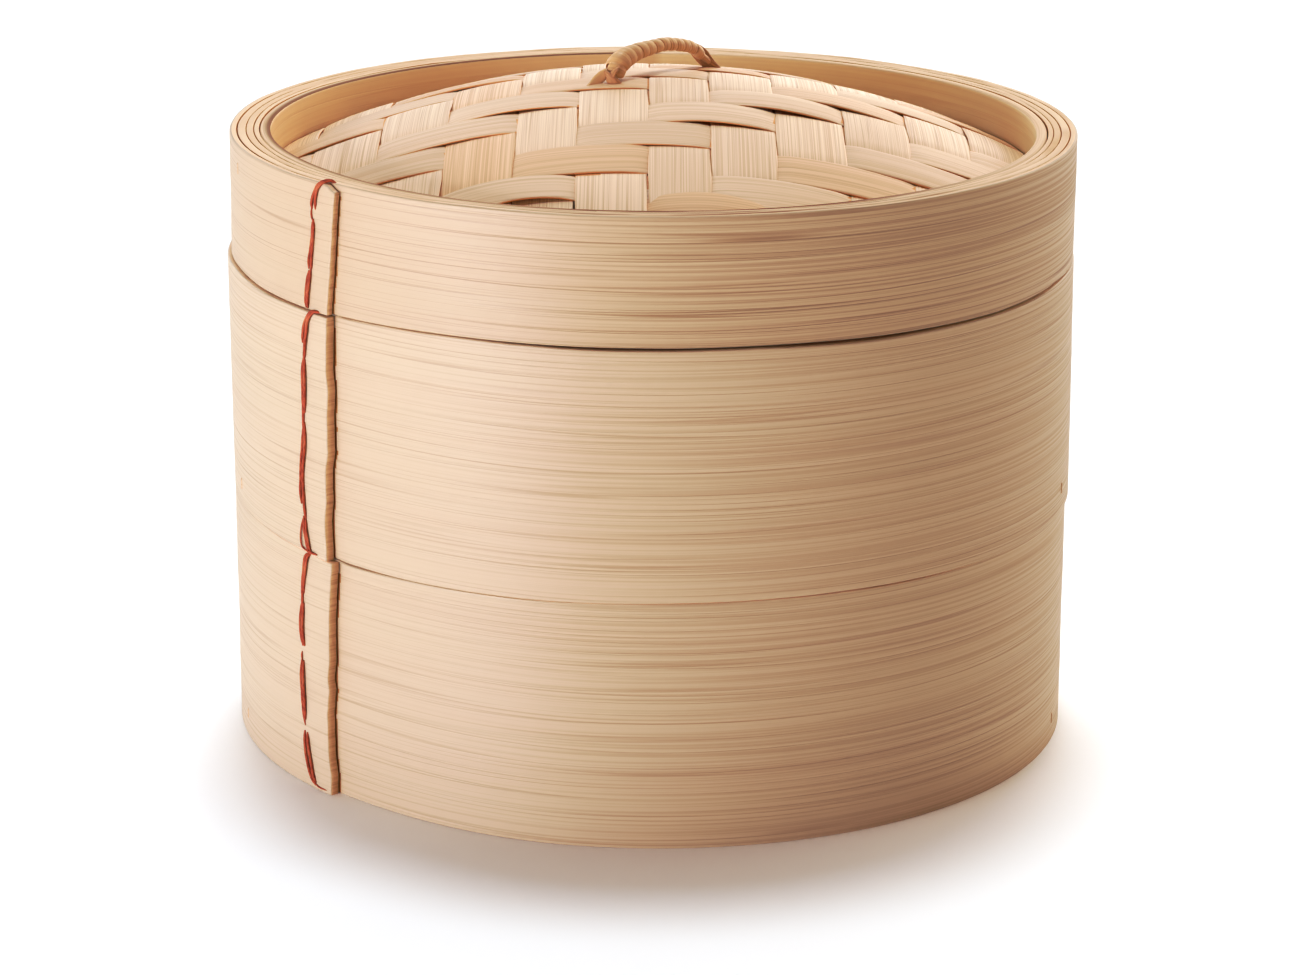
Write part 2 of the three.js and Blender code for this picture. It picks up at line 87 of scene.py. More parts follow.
# The share of its thickness that each outer strip keeps at its rounded foot and top edges
LEAST_EDGE = {"lower_tier": (0.8, 0.96), "upper_tier": (0.96, 0.75), "lid": (0.6, 0.45)}
INNER_EDGE = 0.65

# The lap: how rough its cut is, over how many degrees that evens out, how far it stands off the turn below
# and over how many degrees, how much lower its top corner is at the lid and over how many degrees, and the
# width in degrees of the painted shadow line beside it
LAP_ROUGH = 0.04
LAP_BLEND = 14.0
LAP_LIFT = 0.22
LIFT_LENGTH = 7.0
LAP_CORNER = 1.6
CORNER_LENGTH = 2.2
LAP_SHADOW = 0.05

# How much lower the lid's innermost layer stands at the front
RIM_STEP = 0.75

# How far the top edge of each wall stands below its full height at least, and how much more in the mean
RIM_WEAR = {"lower_tier": (0.04, 0.03), "upper_tier": (0.1, 0.12), "lid": (0, 0.12)}

# Dips in the top edge of each tier: bearing, width in degrees and depth
DIPS = {
    "lower_tier": [(30, 18, 0.3), (-43, 5, 0.25)],
    "upper_tier": [(-2, 17, 0.42), (30, 20, 0.55), (60, 12, 0.45)],
}

# How much painted shade browns the rim at the front, standing in for the shade of its steps and grooves: on
# the outer and the inner side of the first turn, then of the others
RIM_SHADES = ((0.1, 0.6), (1.0, 0.3))

# How far each wall bulges past the true circle, at its foot and its top, on the left and on the right
SWELLS = {
    "lower_tier": ((0.4, 0.6), (0.35, 0.1)),
    "upper_tier": ((0.65, 1.15), (0.85, 0.15)),
    "lid": ((0.15, 0.0), (0.0, 0.0)),
}
HEIGHTS = {"lower_tier": TIER_HEIGHT, "upper_tier": TIER_HEIGHT, "lid": LID_HEIGHT}
LAYERS = {"lower_tier": TIER_LAYERS, "upper_tier": TIER_LAYERS, "lid": LID_LAYERS}

# The cut end of each outer strip: height above the foot, and bearing
LAP_LINES = {
    "lower_tier": [
        (0, -47.2), (5, -47.1), (9, -47.5), (15, -47.6), (20, -47.7), (26, -47.2), (29, -47.5),
        (33, -47.05), (43, -47.0), (48, -46.7), (57, -46.25),
    ],
    "upper_tier": [
        (0, -47.2), (9, -47.4), (14, -47.0), (21, -47.05), (26, -46.45), (35, -46.5), (40, -46.2),
        (44, -46.5), (52, -46.35), (57, -46.2),
    ],
    "lid": [(0, -46.4), (5, -46.1), (10, -45.7), (17, -45.3), (22, -45.0), (28.5, -44.6)],
}

# How far each seam wanders from its level: (bearing, height) at the foot of the upper tier and of the lid
SEAMS = {
    "upper_tier": [
        (-180, 0), (-90, 0.3), (-74, 0.8), (-64, 0.5), (-58, 0), (-50, -0.35), (-45, -0.9), (-34, -0.85),
        (-24, -0.6), (-14, -0.4), (-4, -0.1), (6, 0.1), (26, 0.25), (36, 0), (46, -0.2), (60, -0.35),
        (90, 0), (180, 0),
    ],
    "lid": [
        (-180, 0), (-90, 0), (-74, 0.5), (-64, -0.2), (-58, -0.4), (-50, -0.55), (-45, -0.75), (-34, -0.3),
        (-24, 0.1), (-4, 0.3), (16, 0.3), (36, -0.1), (50, -0.3), (64, 0.1), (68, 0.3), (78, 0.05),
        (180, 0),
    ],
}
SEAM_ABOVE = {"lower_tier": "upper_tier", "upper_tier": "lid"}

# Dome of the lid
DOME_APEX = 154.2
DOME_RADIUS = 202.0
WEAVE_RADIUS = 92.8
WARP_PITCH = 15.4
WARP_SHIFT = 4.4
WARPS = range(-6, 6)
WEFT_PITCH = 13.0
WEFT_SHIFT = -2.5
WEFTS = range(-7, 8)
WEAVE_MARGIN = 0.6
STRIP_GAP = 0.2
STRIP_THICKNESS = 0.5
WEAVE_LIFT = 0.32
DIVE_LENGTH = 4.0
LINING_PITCH = 8.0
LINING_TOP = -1.45
LINING_BOTTOM = -2.25
UPPER_RING_FOOT = 0.35
LOWER_RING_TOP = -2.55

# How far right of an even pitch the borders between the warps are, from the left of the first warp on
WARP_BORDERS = [0, 0.5, 1.5, 2.1, 2.8, 1.3, 2.1, 0.8, 0.3, 0.8, 0.7, 0.3, 0]

# Strips that stand off the weave: for a weft, the places along it and how high it arches there
ARCHES = {
    -6: [(12, 1.0)], -5: [(-32, 1.0)], -2: [(12, 0.75)], -1: [(-30, 0.6), (36, 0.85)], 0: [(40, 0.6)],
}

# Wefts that stray from their band: the place along the weft, and how far back its front and back edges lie
STRAYS = {
    -6: (10, 2.0, 4.2), -5: (-26, 4.0, 0.4), -4: (-22, 0.8, 0.8), -1: (70, -2.0, -2.0), 0: (70, -2.5, -2.5),
}
STRAY_LENGTH = 20.0

# A strip is painted orange, as warm shade, where it dips this far under others, but not in front of this line
COVERED_LIFT = -0.25
COVERED_FRONT = -67.0

# Colour of a peg's head, from 0 for pale to 1 for brown
PEG_TINT = 0.35

# The cord of the stitches is this much thicker than its strands are drawn
CORD_SCALE = 1.15

# Handle
HANDLE_LEFT = (-10.0, -2.0)
HANDLE_RIGHT = (14.5, 25.0)
HANDLE_RISE = 7.5
HANDLE_ARCH = [
    (0.02, 0.36), (0.1, 0.68), (0.27, 0.91), (0.46, 1.0), (0.61, 0.98), (0.77, 0.77), (0.9, 0.43),
    (0.98, 0.14),
]
HANDLE_LEG = 10.0
CORE_RADIUS = 0.8

# Camera of the photograph
CAMERA_PITCH = 16.662
CAMERA_ROLL = 0.006
CAMERA_DISTANCE = 978.174
CAMERA_SIDE = -0.34
CAMERA_AIM = 54.3
LENS = 111.42
SENSOR = 36.0

# Height above the floor of what the lights look at, and the floor's half width
LIGHT_AIM = 70.0
FLOOR_REACH = 6000.0


def place(points):
    """Millimetres to metres."""
    return np.asarray(points, float) * MM


def polar(radius, angle, z):
    """Points at a radius, an angle from the front and a height."""
    a = np.radians(angle)
    radius, a, z = np.broadcast_arrays(radius, a, z)
    return np.stack([radius * np.sin(a), -radius * np.cos(a), z], axis=-1)


def smooth(t):
    t = np.clip(t, 0, 1)
    return t * t * (3 - 2 * t)


def reach_of(points):
    """How far along its line each point is."""
    return np.concatenate([[0], np.cumsum(np.linalg.norm(np.diff(points, axis=0), axis=1))])


def directions(points):
    """Unit vectors along a line of points."""
    steps = np.gradient(points, axis=0)
    return steps / np.linalg.norm(steps, axis=1)[:, None]


def read_off(at, places, values):
    """Points or vectors between the given ones, which lie at the given places along a line."""
    return np.stack([np.interp(at, places, values[:, axis]) for axis in range(3)], axis=-1)


def spread_uv(along, across):
    return np.stack(np.broadcast_arrays(along, across), axis=-1)


class Waves:
    """Smooth one-dimensional noise: a few sine waves with seeded phases, about -1 to 1."""

    def __init__(self, seed, length, octaves=4):
        rng = np.random.default_rng(seed)
        steps = np.arange(octaves)
        self.rates = 2 * math.pi / length * 1.9 ** steps * rng.uniform(0.8, 1.2, octaves)
        self.phases = rng.uniform(0, 2 * math.pi, octaves)
        self.sizes = 0.6 ** steps
        self.sizes /= self.sizes.sum()

    def __call__(self, x):
        x = np.asarray(x, float)[..., None]
        return (np.sin(x * self.rates + self.phases) * self.sizes).sum(-1)


# Mesh helpers
def signed_volume(points, faces):
    total = 0.0
    for face in faces:
        a = points[face[:, 0]]
        for i in range(1, face.shape[1] - 1):
            b = points[face[:, i]]
            c = points[face[:, i + 1]]
            total += np.einsum("ij,ij->i", a, np.cross(b, c)).sum()
    return total


def make_mesh(name, points, quads, corner_uvs, materials, face_materials=None, tint=None):
    """One closed mesh from quads, with a UV map in metres and an optional colour tint."""
    points = place(points)
    if signed_volume(points, [quads]) < 0:
        quads = quads[:, ::-1]
        corner_uvs = corner_uvs[:, ::-1]
    mesh = bpy.data.meshes.new(name)
    count = len(quads)
    mesh.vertices.add(len(points))
    mesh.vertices.foreach_set("co", points.astype(np.float32).ravel())
    mesh.loops.add(4 * count)
    mesh.loops.foreach_set("vertex_index", quads.astype(np.int32).ravel())
    mesh.polygons.add(count)
    mesh.polygons.foreach_set("loop_start", np.arange(0, 4 * count, 4, dtype=np.int32))
    mesh.polygons.foreach_set("use_smooth", np.ones(count, bool))
    if face_materials is not None:
        mesh.polygons.foreach_set("material_index", np.asarray(face_materials, np.int32))
    layer = mesh.uv_layers.new(name="grain")
    layer.data.foreach_set("uv", place(corner_uvs).astype(np.float32).ravel())
    for material in materials:
        mesh.materials.append(material)
    if tint is not None:
        attribute = mesh.attributes.new("tint", "FLOAT", "POINT")
        attribute.data.foreach_set("value", np.broadcast_to(tint, len(points)).astype(np.float32))
    mesh.update()
    mesh.validate()
    obj = bpy.data.objects.new(name, mesh)
    bpy.context.scene.collection.objects.link(obj)
    return obj


def grid_quads(rows, columns, offset=0, wrap_rows=False, wrap_columns=False):
    """Corner numbers of a grid of points, rows by columns."""
    i = np.arange(rows if wrap_rows else rows - 1)
    j = np.arange(columns if wrap_columns else columns - 1)
    i, j = [a.ravel() for a in np.meshgrid(i, j, indexing="ij")]
    i2 = (i + 1) % rows
    j2 = (j + 1) % columns
    corners = [(i, j), (i2, j), (i2, j2), (i, j2)]
    return np.stack([a * columns + b for a, b in corners], axis=1) + offset


def plate(name, middle, normal, half, uv, materials, face_kinds=None, tint=None):
    """A thin closed body round a middle surface: arrays of rows by columns. Its half thickness may vary.

    A tint of rows by columns holds for both faces, or there is one for each.
    Materials: 0 on both faces, unless face_kinds says otherwise, 1 on the long sides, 2 on the two ends.
    """
    rows, columns = middle.shape[:2]
    front = middle + normal * half[..., None]
    back = middle - normal * half[..., None]
    points = np.concatenate([front.reshape(-1, 3), back.reshape(-1, 3)])
    uvs = np.concatenate([uv.reshape(-1, 2), uv.reshape(-1, 2)])
    size = rows * columns
    face = grid_quads(rows, columns)
    quads = [face, face[:, ::-1] + size]
    if face_kinds is None:
        face_kinds = np.zeros((2, rows - 1, columns - 1), int)
    kinds = [face_kinds[0].ravel(), face_kinds[1].ravel()]
    if np.ndim(tint) > 1:
        tint = np.broadcast_to(tint, (2, rows, columns)).ravel()
    long_sides = []
    for column in (0, columns - 1):
        a = np.arange(rows - 1) * columns + column
        b = a + columns
        side = np.stack([a, a + size, b + size, b], axis=1)
        long_sides.append(side if column == 0 else side[:, ::-1])
    ends = []
    for row in (0, rows - 1):
        a = row * columns + np.arange(columns - 1)
        b = a + 1
        side = np.stack([a, b, b + size, a + size], axis=1)
        ends.append(side if row == 0 else side[:, ::-1])
    quads += long_sides + ends
    kinds += [np.ones(rows - 1, int)] * 2 + [np.full(columns - 1, 2)] * 2
    quads = np.concatenate(quads)
    kinds = np.minimum(np.concatenate(kinds), len(materials) - 1)
    return make_mesh(name, points, quads, uvs[quads], materials, kinds, tint)


def sweep(name, sections, uv, materials, kinds=None, closed=False, tint=None):
    """A closed tube of sections, an array of sections by points. uv has one more point for the seam."""
    rows, columns = sections.shape[:2]
    points = sections.reshape(-1, 3)
    quads = grid_quads(rows, columns, wrap_rows=closed, wrap_columns=True)
    i, j = np.meshgrid(np.arange(rows if closed else rows - 1), np.arange(columns), indexing="ij")
    i, j = i.ravel(), j.ravel()
    corner_uvs = np.stack([uv[i, j], uv[i + 1, j], uv[i + 1, j + 1], uv[i, j + 1]], axis=1)
    face_kinds = np.zeros(len(quads), int) if kinds is None else np.tile(kinds, rows if closed else rows - 1)
    if not closed:
        caps, cap_uvs = [], []
        for row in (0, rows - 1):
            half = columns // 2
            for k in range(half - 1):
                a, b = k, k + 1
                c, d = columns - 2 - k, columns - 1 - k
                cap = [row * columns + n for n in (a, b, c, d)]
                cap = cap if row == 0 else cap[::-1]
                caps.append(cap)
                cap_uvs.append([uv[row, n % columns] for n in (a, b, c, d)])
        quads = np.concatenate([quads, np.array(caps)])
        corner_uvs = np.concatenate([corner_uvs, np.array(cap_uvs)])
        face_kinds = np.concatenate([face_kinds, np.full(len(caps), len(materials) - 1)])
    return make_mesh(name, points, quads, corner_uvs, materials, face_kinds, tint)


def tube(name, path, radius, sides, materials):
    """A round tube along points. radius is a number or one for each point."""
    radius = np.broadcast_to(radius, len(path))
    tangents = directions(path)
    normal = np.cross(tangents[0], [0.3, 0.2, 1.0])
    normals = []
    for tangent in tangents:
        normal = normal - tangent * normal.dot(tangent)
        normal /= np.linalg.norm(normal)
        normals.append(normal)
    normals = np.array(normals)
    binormals = np.cross(tangents, normals)
    angle = np.arange(sides) * 2 * math.pi / sides
    ring = normals[:, None] * np.cos(angle)[None, :, None] + binormals[:, None] * np.sin(angle)[None, :, None]
    sections = path[:, None] + ring * radius[:, None, None]
    around = np.arange(sides + 1) * 2 * math.pi * radius.mean() / sides
    return sweep(name, sections, spread_uv(reach_of(path)[:, None], around[None, :]), materials)


def curve_points(points, count):
    """A smooth curve through chosen points, as count evenly spaced points."""
    points = np.asarray(points, float)
    padded = np.concatenate([[2 * points[0] - points[1]], points, [2 * points[-1] - points[-2]]])
    fine = []
    for i in range(1, len(padded) - 2):
        p0, p1, p2, p3 = padded[i - 1:i + 3]
        t = np.linspace(0, 1, 24, endpoint=False)[:, None]
        fine.append(0.5 * (2 * p1 + (p2 - p0) * t + (2 * p0 - 5 * p1 + 4 * p2 - p3) * t ** 2
                           + (3 * p1 - p0 - 3 * p2 + p3) * t ** 3))
    fine = np.concatenate(fine + [points[-1:]])
    along = reach_of(fine)
    return read_off(np.linspace(0, along[-1], count), along, fine)


def join(name, objects):
    """One object from several, in the order given."""
    bpy.ops.object.select_all(action="DESELECT")
    for obj in objects:
        obj.select_set(True)
    bpy.context.view_layer.objects.active = objects[0]
    bpy.ops.object.join()
    objects[0].name = name
    return objects[0]


# Materials
class Shader:
    """Short names for the nodes of one material."""

    def __init__(self, name, roughness=0.5, specular=0.5):
        self.material = bpy.data.materials.new(name)
        self.material.use_nodes = True
        self.tree = self.material.node_tree
        self.surface = self.tree.nodes["Principled BSDF"]
        self.surface.inputs["Roughness"].default_value = roughness
        self.surface.inputs["Specular IOR Level"].default_value = specular

    def node(self, kind, **settings):
        node = self.tree.nodes.new(kind)
        for name, value in settings.items():
            setattr(node, name, value)
        return node

    def link(self, output, socket):
        self.tree.links.new(output, socket)

    def feed(self, socket, value):
        if isinstance(value, bpy.types.NodeSocket):
            self.link(value, socket)
        else:
            socket.default_value = value

    def grain(self):
        return self.node("ShaderNodeUVMap", uv_map="grain").outputs["UV"]

    def scaled(self, vector, scale, offset=(0, 0, 0)):
        node = self.node("ShaderNodeMapping")
        self.link(vector, node.inputs["Vector"])
        node.inputs["Scale"].default_value = scale
        node.inputs["Location"].default_value = offset
        return node.outputs["Vector"]

    def noise(self, vector, scale, detail=2.0, rough=0.5, offset=(0, 0, 0)):
        node = self.node("ShaderNodeTexNoise", noise_dimensions="2D")
        self.link(self.scaled(vector, scale, offset), node.inputs["Vector"])
        node.inputs["Scale"].default_value = 1.0
        node.inputs["Detail"].default_value = detail
        node.inputs["Roughness"].default_value = rough
        return node.outputs["Fac"]

    def cells(self, vector, scale, offset=(0, 0, 0)):
        """Distance to the nearest border between cells."""
        node = self.node("ShaderNodeTexVoronoi", voronoi_dimensions="2D", feature="DISTANCE_TO_EDGE")
        self.link(self.scaled(vector, scale, offset), node.inputs["Vector"])
        node.inputs["Scale"].default_value = 1.0
        return node.outputs["Distance"]

    def math(self, operation, a, b=0.0, clamp=False):
        node = self.node("ShaderNodeMath", operation=operation, use_clamp=clamp)
        self.feed(node.inputs[0], a)
        self.feed(node.inputs[1], b)
        return node.outputs["Value"]

    def spread(self, value, low, high, to_low=0.0, to_high=1.0):
        node = self.node("ShaderNodeMapRange", interpolation_type="SMOOTHSTEP")
        self.feed(node.inputs["Value"], value)
        for name, number in (("From Min", low), ("From Max", high), ("To Min", to_low), ("To Max", to_high)):
            node.inputs[name].default_value = number
        return node.outputs["Result"]

    def mix(self, share, a, b, blend="MIX"):
        node = self.node("ShaderNodeMix", data_type="RGBA", blend_type=blend)
        self.feed(node.inputs["Factor"], share)
        self.feed(node.inputs["A"], a)
        self.feed(node.inputs["B"], b)
        return node.outputs["Result"]

    def part(self, vector, axis):
        node = self.node("ShaderNodeSeparateXYZ")
        self.link(vector, node.inputs["Vector"])
        return node.outputs[axis]

    def attribute(self, name):
        return self.node("ShaderNodeAttribute", attribute_name=name).outputs["Fac"]

    def color(self, value):
        self.feed(self.surface.inputs["Base Color"], value)

    def roughness(self, value):
        self.feed(self.surface.inputs["Roughness"], value)

    def bump(self, height, distance, strength=1.0):
        node = self.node("ShaderNodeBump")
        self.link(height, node.inputs["Height"])
        node.inputs["Distance"].default_value = distance
        node.inputs["Strength"].default_value = strength
        self.link(node.outputs["Normal"], self.surface.inputs["Normal"])


def tone(red, green, blue):
    """A colour given as it looks on screen, 0 to 255, as the linear values that the shader takes."""
    values = []
    for value in (red, green, blue):
        share = value / 255
        values.append(share / 12.92 if share <= 0.04045 else ((share + 0.055) / 1.055) ** 2.4)
    return (*values, 1.0)


# A faint pink of some fibres, and how far along a coiled strip, in metres, its pattern grows and calms again
ROSE = tone(255, 244, 246)
CALM_START = (0.0, 0.13)
CALM_END = (0.53, 0.61)


def bamboo(name, tones, fibre=1.0, roughness=0.5, relief=0.00006, contrast=1.0, seed=0.0, calm=1.0,
           specular=0.5, reach=1.0):
    """Split bamboo. The grain map runs along the fibres first and across them second, in metres.

    Long cells with thin dark borders, fine fibres, faint bands of another hue and a few brown streaks.
    The tones are those of light, middle and dark fibres and of the streaks.
    calm is how much of the pattern is left at the outer end of a coiled strip and where it comes round again.
    reach makes the cells and fibres longer. Scales count cells in a metre, along and across.
    """
    shader = Shader(name, roughness, specular)
    light, mid, dark, line = [tone(*numbers) for numbers in tones]
    grain = shader.grain()
    fine = shader.noise(grain, (7 / reach, 1350 * fibre, 1), 2.0, 0.6, (seed, seed, 0))
    border = shader.cells(grain, (7 / reach, 760 * fibre, 1), (seed + 3, seed, 0))
    depth = shader.noise(grain, (14 / reach, 620 * fibre, 1), 1.0, 0.5, (seed + 5, seed, 0))
    hair = shader.math("MULTIPLY", shader.spread(border, 0.01, 0.1, 1.0, 0.0),
                       shader.spread(depth, 0.35, 0.75, 0.1, 1.0))
    if calm < 1:
        along = shader.part(grain, "X")
        quiet = shader.math("MULTIPLY", shader.spread(along, *CALM_START, calm, 1.0),
                            shader.spread(along, *CALM_END, 1.0, calm))
        hair = shader.math("MULTIPLY", hair, quiet)
        fine = shader.math("MULTIPLY", fine, quiet)
    bands = shader.noise(grain, (3, 170 * fibre, 1), 1.0, 0.5, (seed + 11, seed, 0))
    hue = shader.noise(grain, (5, 110 * fibre, 1), 1.0, 0.5, (seed + 29, seed, 0))
    color = shader.mix(shader.spread(bands, 0.3, 0.7, 0.48, 0.52), light, mid)
    color = shader.mix(shader.spread(hue, 0.35, 0.65, 0.0, 0.12), color, ROSE, "MULTIPLY")
    color = shader.mix(shader.spread(fine, 0.36, 0.66, 0.0, 0.26 * contrast), color, dark)
    color = shader.mix(shader.math("MULTIPLY", hair, 0.42 * contrast), color, dark)
    streak = shader.noise(grain, (9, 1000 * fibre, 1), 0.0, 0.5, (seed + 19, seed, 0))
    where = shader.noise(grain, (6, 70 * fibre, 1), 1.0, 0.5, (seed + 23, seed, 0))
    brown = shader.math("MULTIPLY", shader.spread(streak, 0.66, 0.76), shader.spread(where, 0.5, 0.7))
    color = shader.mix(shader.math("MULTIPLY", brown, 0.15), color, line)
    shader.color(color)
    shader.roughness(shader.spread(fine, 0.35, 0.7, roughness - 0.05, roughness + 0.1))
    height = shader.math("SUBTRACT", shader.math("MULTIPLY", fine, 0.25), shader.math("MULTIPLY", hair, 0.5))
    shader.bump(height, relief)
    return shader


def strip_bamboo(name, tones, fibre, contrast, roughness=0.5):
    """A woven strip: as split bamboo, with a tint for each strip from its mesh."""
    shader = bamboo(name, (*tones, (150, 96, 52)), fibre=fibre, roughness=roughness, relief=0.00005,
                    contrast=contrast, specular=0.3)
    base = shader.surface.inputs["Base Color"].links[0].from_socket
    tint = shader.attribute("tint")
    warm = shader.mix(shader.spread(tint, 0.5, 1.0), base, tone(242, 216, 182), "MULTIPLY")
    shader.color(shader.mix(shader.spread(tint, 0.0, 0.5, 0.3, 0.0), warm, tone(*tones[2])))
    return shader


def shaded(shader, share, color):
    """Mixes a colour in where the mesh's tint says so: painted shade on the rim, beside the lap and inside
    the lid's ring, and the browner heads of the pegs.
    """
    base = shader.surface.inputs["Base Color"].links[0].from_socket
    shader.color(shader.mix(shader.math("MULTIPLY", shader.attribute("tint"), share), base, tone(*color)))


# Surfaces of split bamboo: tones, and settings that differ from the usual ones
BAMBOOS = {
    "wall": (((199, 177, 149), (193, 166, 133), (146, 110, 72), (134, 92, 54)),
             {"fibre": 1.25, "relief": 0.0001, "calm": 0.72, "specular": 0.36, "reach": 1.4}),
    "lid_wall": (((195, 171, 141), (189, 160, 126), (134, 96, 58), (134, 92, 54)),
                 {"fibre": 1.25, "relief": 0.00012, "contrast": 1.5, "seed": 2.2, "calm": 0.55,
                  "specular": 0.36, "reach": 1.4}),
    "edge": (((243, 216, 184), (235, 204, 168), (200, 156, 114), (140, 90, 54)),
             {"fibre": 1.6, "roughness": 0.8, "seed": 3.1, "specular": 0.06}),
    # Faces between the wall's layers and under the lap: brown, partly darker bamboo and partly painted shade
    # of the narrow grooves
    "groove_shade": (((196, 140, 86), (184, 126, 72), (150, 96, 50), (120, 72, 36)),
               {"fibre": 1.6, "roughness": 0.8, "seed": 4.4, "specular": 0.1}),
    "cut": (((216, 178, 136), (204, 164, 122), (172, 128, 84), (140, 96, 56)),
            {"fibre": 1.2, "roughness": 0.7, "contrast": 1.3, "seed": 5.3, "specular": 0.2}),
    "hoop": (((244, 214, 164), (236, 200, 146), (204, 158, 106), (136, 88, 50)),
             {"fibre": 0.9, "contrast": 0.6, "seed": 8.4}),
    "lid_ring": (((252, 234, 196), (249, 226, 184), (218, 180, 134), (150, 102, 62)),
                 {"fibre": 0.7, "contrast": 0.5, "seed": 9.2}),
    "slat": (((230, 202, 160), (218, 184, 138), (190, 148, 102), (148, 100, 58)),
             {"fibre": 0.8, "seed": 12.7}),
    # The strips' undersides, sides and covered parts: their own orange-brown, made warmer as painted shade
    # for the gaps of the weave
    "weave_edge": (((226, 160, 92), (214, 146, 78), (178, 112, 56), (130, 76, 40)),
                   {"fibre": 1.6, "roughness": 0.6, "seed": 6.6}),
    "cane": (((220, 180, 132), (207, 162, 112), (168, 120, 74), (128, 82, 46)),
             {"fibre": 0.9, "relief": 0.0001, "contrast": 1.1, "seed": 17.9}),
    "cane_end": (((200, 150, 100), (186, 132, 82), (138, 88, 48), (110, 66, 32)),
                 {"fibre": 1.3, "roughness": 0.6, "relief": 0.00016, "contrast": 1.6, "seed": 18.3}),
}

# What a tint of 1 adds to a surface: the share and the colour. On the rim's edges and grooves, beside the lap
# and on the lid ring's inner side this is painted shade; on a peg's head, at its own tint, it is the head's
# browner colour.
SHADES = {"edge": (1.0, (116, 66, 30)), "groove_shade": (0.7, (128, 76, 34)), "lid_ring": (0.5, (214, 164, 112))}

# Woven strips: tones, then how fine their fibres are, the contrast and the roughness
STRIPS = {
    "warp": (((243, 215, 181), (233, 200, 160), (182, 138, 96)), 2.3, 1.4, 0.45),
    "weft": (((230, 198, 162), (220, 186, 148), (180, 140, 103)), 1.2, 1.0),
    # The lining's orange is partly its own colour, partly painted warm shade seen through the gaps of the
    # weave
    "lining": (((228, 162, 92), (216, 146, 78), (178, 112, 54)), 1.0, 1.0, 0.6),
}


def make_materials():
    shaders = {"cord": cord_shader()}
    for name, (tones, settings) in BAMBOOS.items():
        label = name if name.startswith("cane") else f"bamboo_{name}"
        shaders[name] = bamboo(label, tones, **settings)
    for name, (share, color) in SHADES.items():
        shaded(shaders[name], share, color)
    for name, settings in STRIPS.items():
        shaders[name] = strip_bamboo(f"bamboo_{name}", *settings)
    return {name: shader.material for name, shader in shaders.items()}


def cord_shader():
    shader = Shader("red_cord", 0.75, 0.3)
    grain = shader.grain()
    twist = shader.noise(grain, (900, 2600, 1), 2.0, 0.6)
    fade = shader.noise(grain, (160, 300, 1), 2.0, 0.5, (4, 2, 0))
    color = shader.mix(shader.spread(twist, 0.35, 0.7), tone(176, 86, 52), tone(140, 56, 34))
    color = shader.mix(shader.spread(fade, 0.5, 0.8, 0.0, 0.5), color, tone(196, 124, 80))
    shader.color(color)
    shader.bump(twist, 0.00012)
    return shader


materials = make_materials()


def finish_piece(obj, body, slot, *nodes):
    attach(obj, body)
    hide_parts(*nodes)
    return obj


# Coiled walls
def layer_at(layers, angle):
    """Outer radius and thickness of the strip, where angle counts down from the lap in degrees."""
    turn = np.minimum((angle // 360).astype(int), len(layers) - 1)
    into = smooth((angle % 360 - (360 - STEP_IN)) / STEP_IN)
    after = np.minimum(turn + 1, len(layers) - 1)
    radii = np.array([layer[0] for layer in layers])
    widths = np.array([layer[1] for layer in layers])
    radius = radii[turn] + (radii[after] - radii[turn]) * into
    width = widths[turn] + (widths[after] - widths[turn]) * into
    return radius, width


def bearing_of(angle):
    """Bearing from the front, -180 to 180 degrees, of an angle that counts down from the lap."""
    return (LAP_ANGLE - angle + 180) % 360 - 180


def wall_angles(turns):
    """Angles down from the lap: dense at the lap and on the outer turn, sparser inside."""
    total = turns * 360 - STEP_IN
    lap = np.array([0, 0.12, 0.3, 0.55, 0.9, 1.4, 2.0])
    outer = np.arange(3.0, 358.5, 1.15)
    corner = np.arange(358.9, 364, 0.25)
    inner = np.arange(364, total, 2.4)
    return np.concatenate([lap, outer, corner, inner, [total]])


def wall_rows(height, spacing):
    """Heights across the strip, close together where its edges are rounded."""
    rounding = EDGE_ROUND * np.array([0, 0.06, 0.25, 0.6, 1.0, 1.6])
    count = int(round((height - 2 * rounding[-1]) / spacing))
    middle = np.linspace(rounding[-1], height - rounding[-1], count + 1)[1:-1]
    return np.concatenate([rounding, middle, height - rounding[::-1]])


def rounded(distance, radius, half, least=0.42):
    """Half thickness at a distance from a rounded edge. least is the share that is left at the edge."""
    t = np.clip(distance / radius, 0, 1)
    return half * (least + (1 - least) * np.sqrt(np.clip(1 - (1 - t) ** 2, 0, 1)))


def swell(body, angle, z):
    """Outward bulge of a wall's outer face at a bearing and a height above its foot."""
    foot_left, top_left = SWELLS[body][0]
    foot_right, top_right = SWELLS[body][1]
    share = np.clip(np.asarray(z, float) / HEIGHTS[body], 0, 1)
    side = np.sin(np.radians(angle))
    left = foot_left + (top_left - foot_left) * share
    right = foot_right + (top_right - foot_right) * share
    return np.where(side < 0, left, right) * side ** 2


def seam(name, bearing):
    if name not in SEAMS:
        return np.zeros_like(bearing)
    at, rise = np.array(SEAMS[name], float).T
    return np.interp(bearing, at, rise)


def wall_levels(body, height, angle, turn, seed):
    """Heights of the strip's foot and top edges along it."""
    wear = RIM_WEAR[body][1]
    bearing = bearing_of(angle)
    inward = (OUTER_RADIUS - layer_at(LAYERS[body], angle)[0]) / (OUTER_RADIUS - HOOP_INNER)
    level = Waves(seed + 2, 70, 5)
    top = height - wear * (1 + level(angle * 1.7 + turn * 31)) - edge_drop(body, bearing, inward)
    top = top + seam(SEAM_ABOVE.get(body), bearing)
    if body == "lid":
        top = top - LAP_CORNER * (1 - smooth(angle / CORNER_LENGTH))
    foot = FOOT_WEAR * (1 + Waves(seed + 3, 90, 4)(angle * 1.7)) / 2 + seam(body, bearing)
    return foot, top


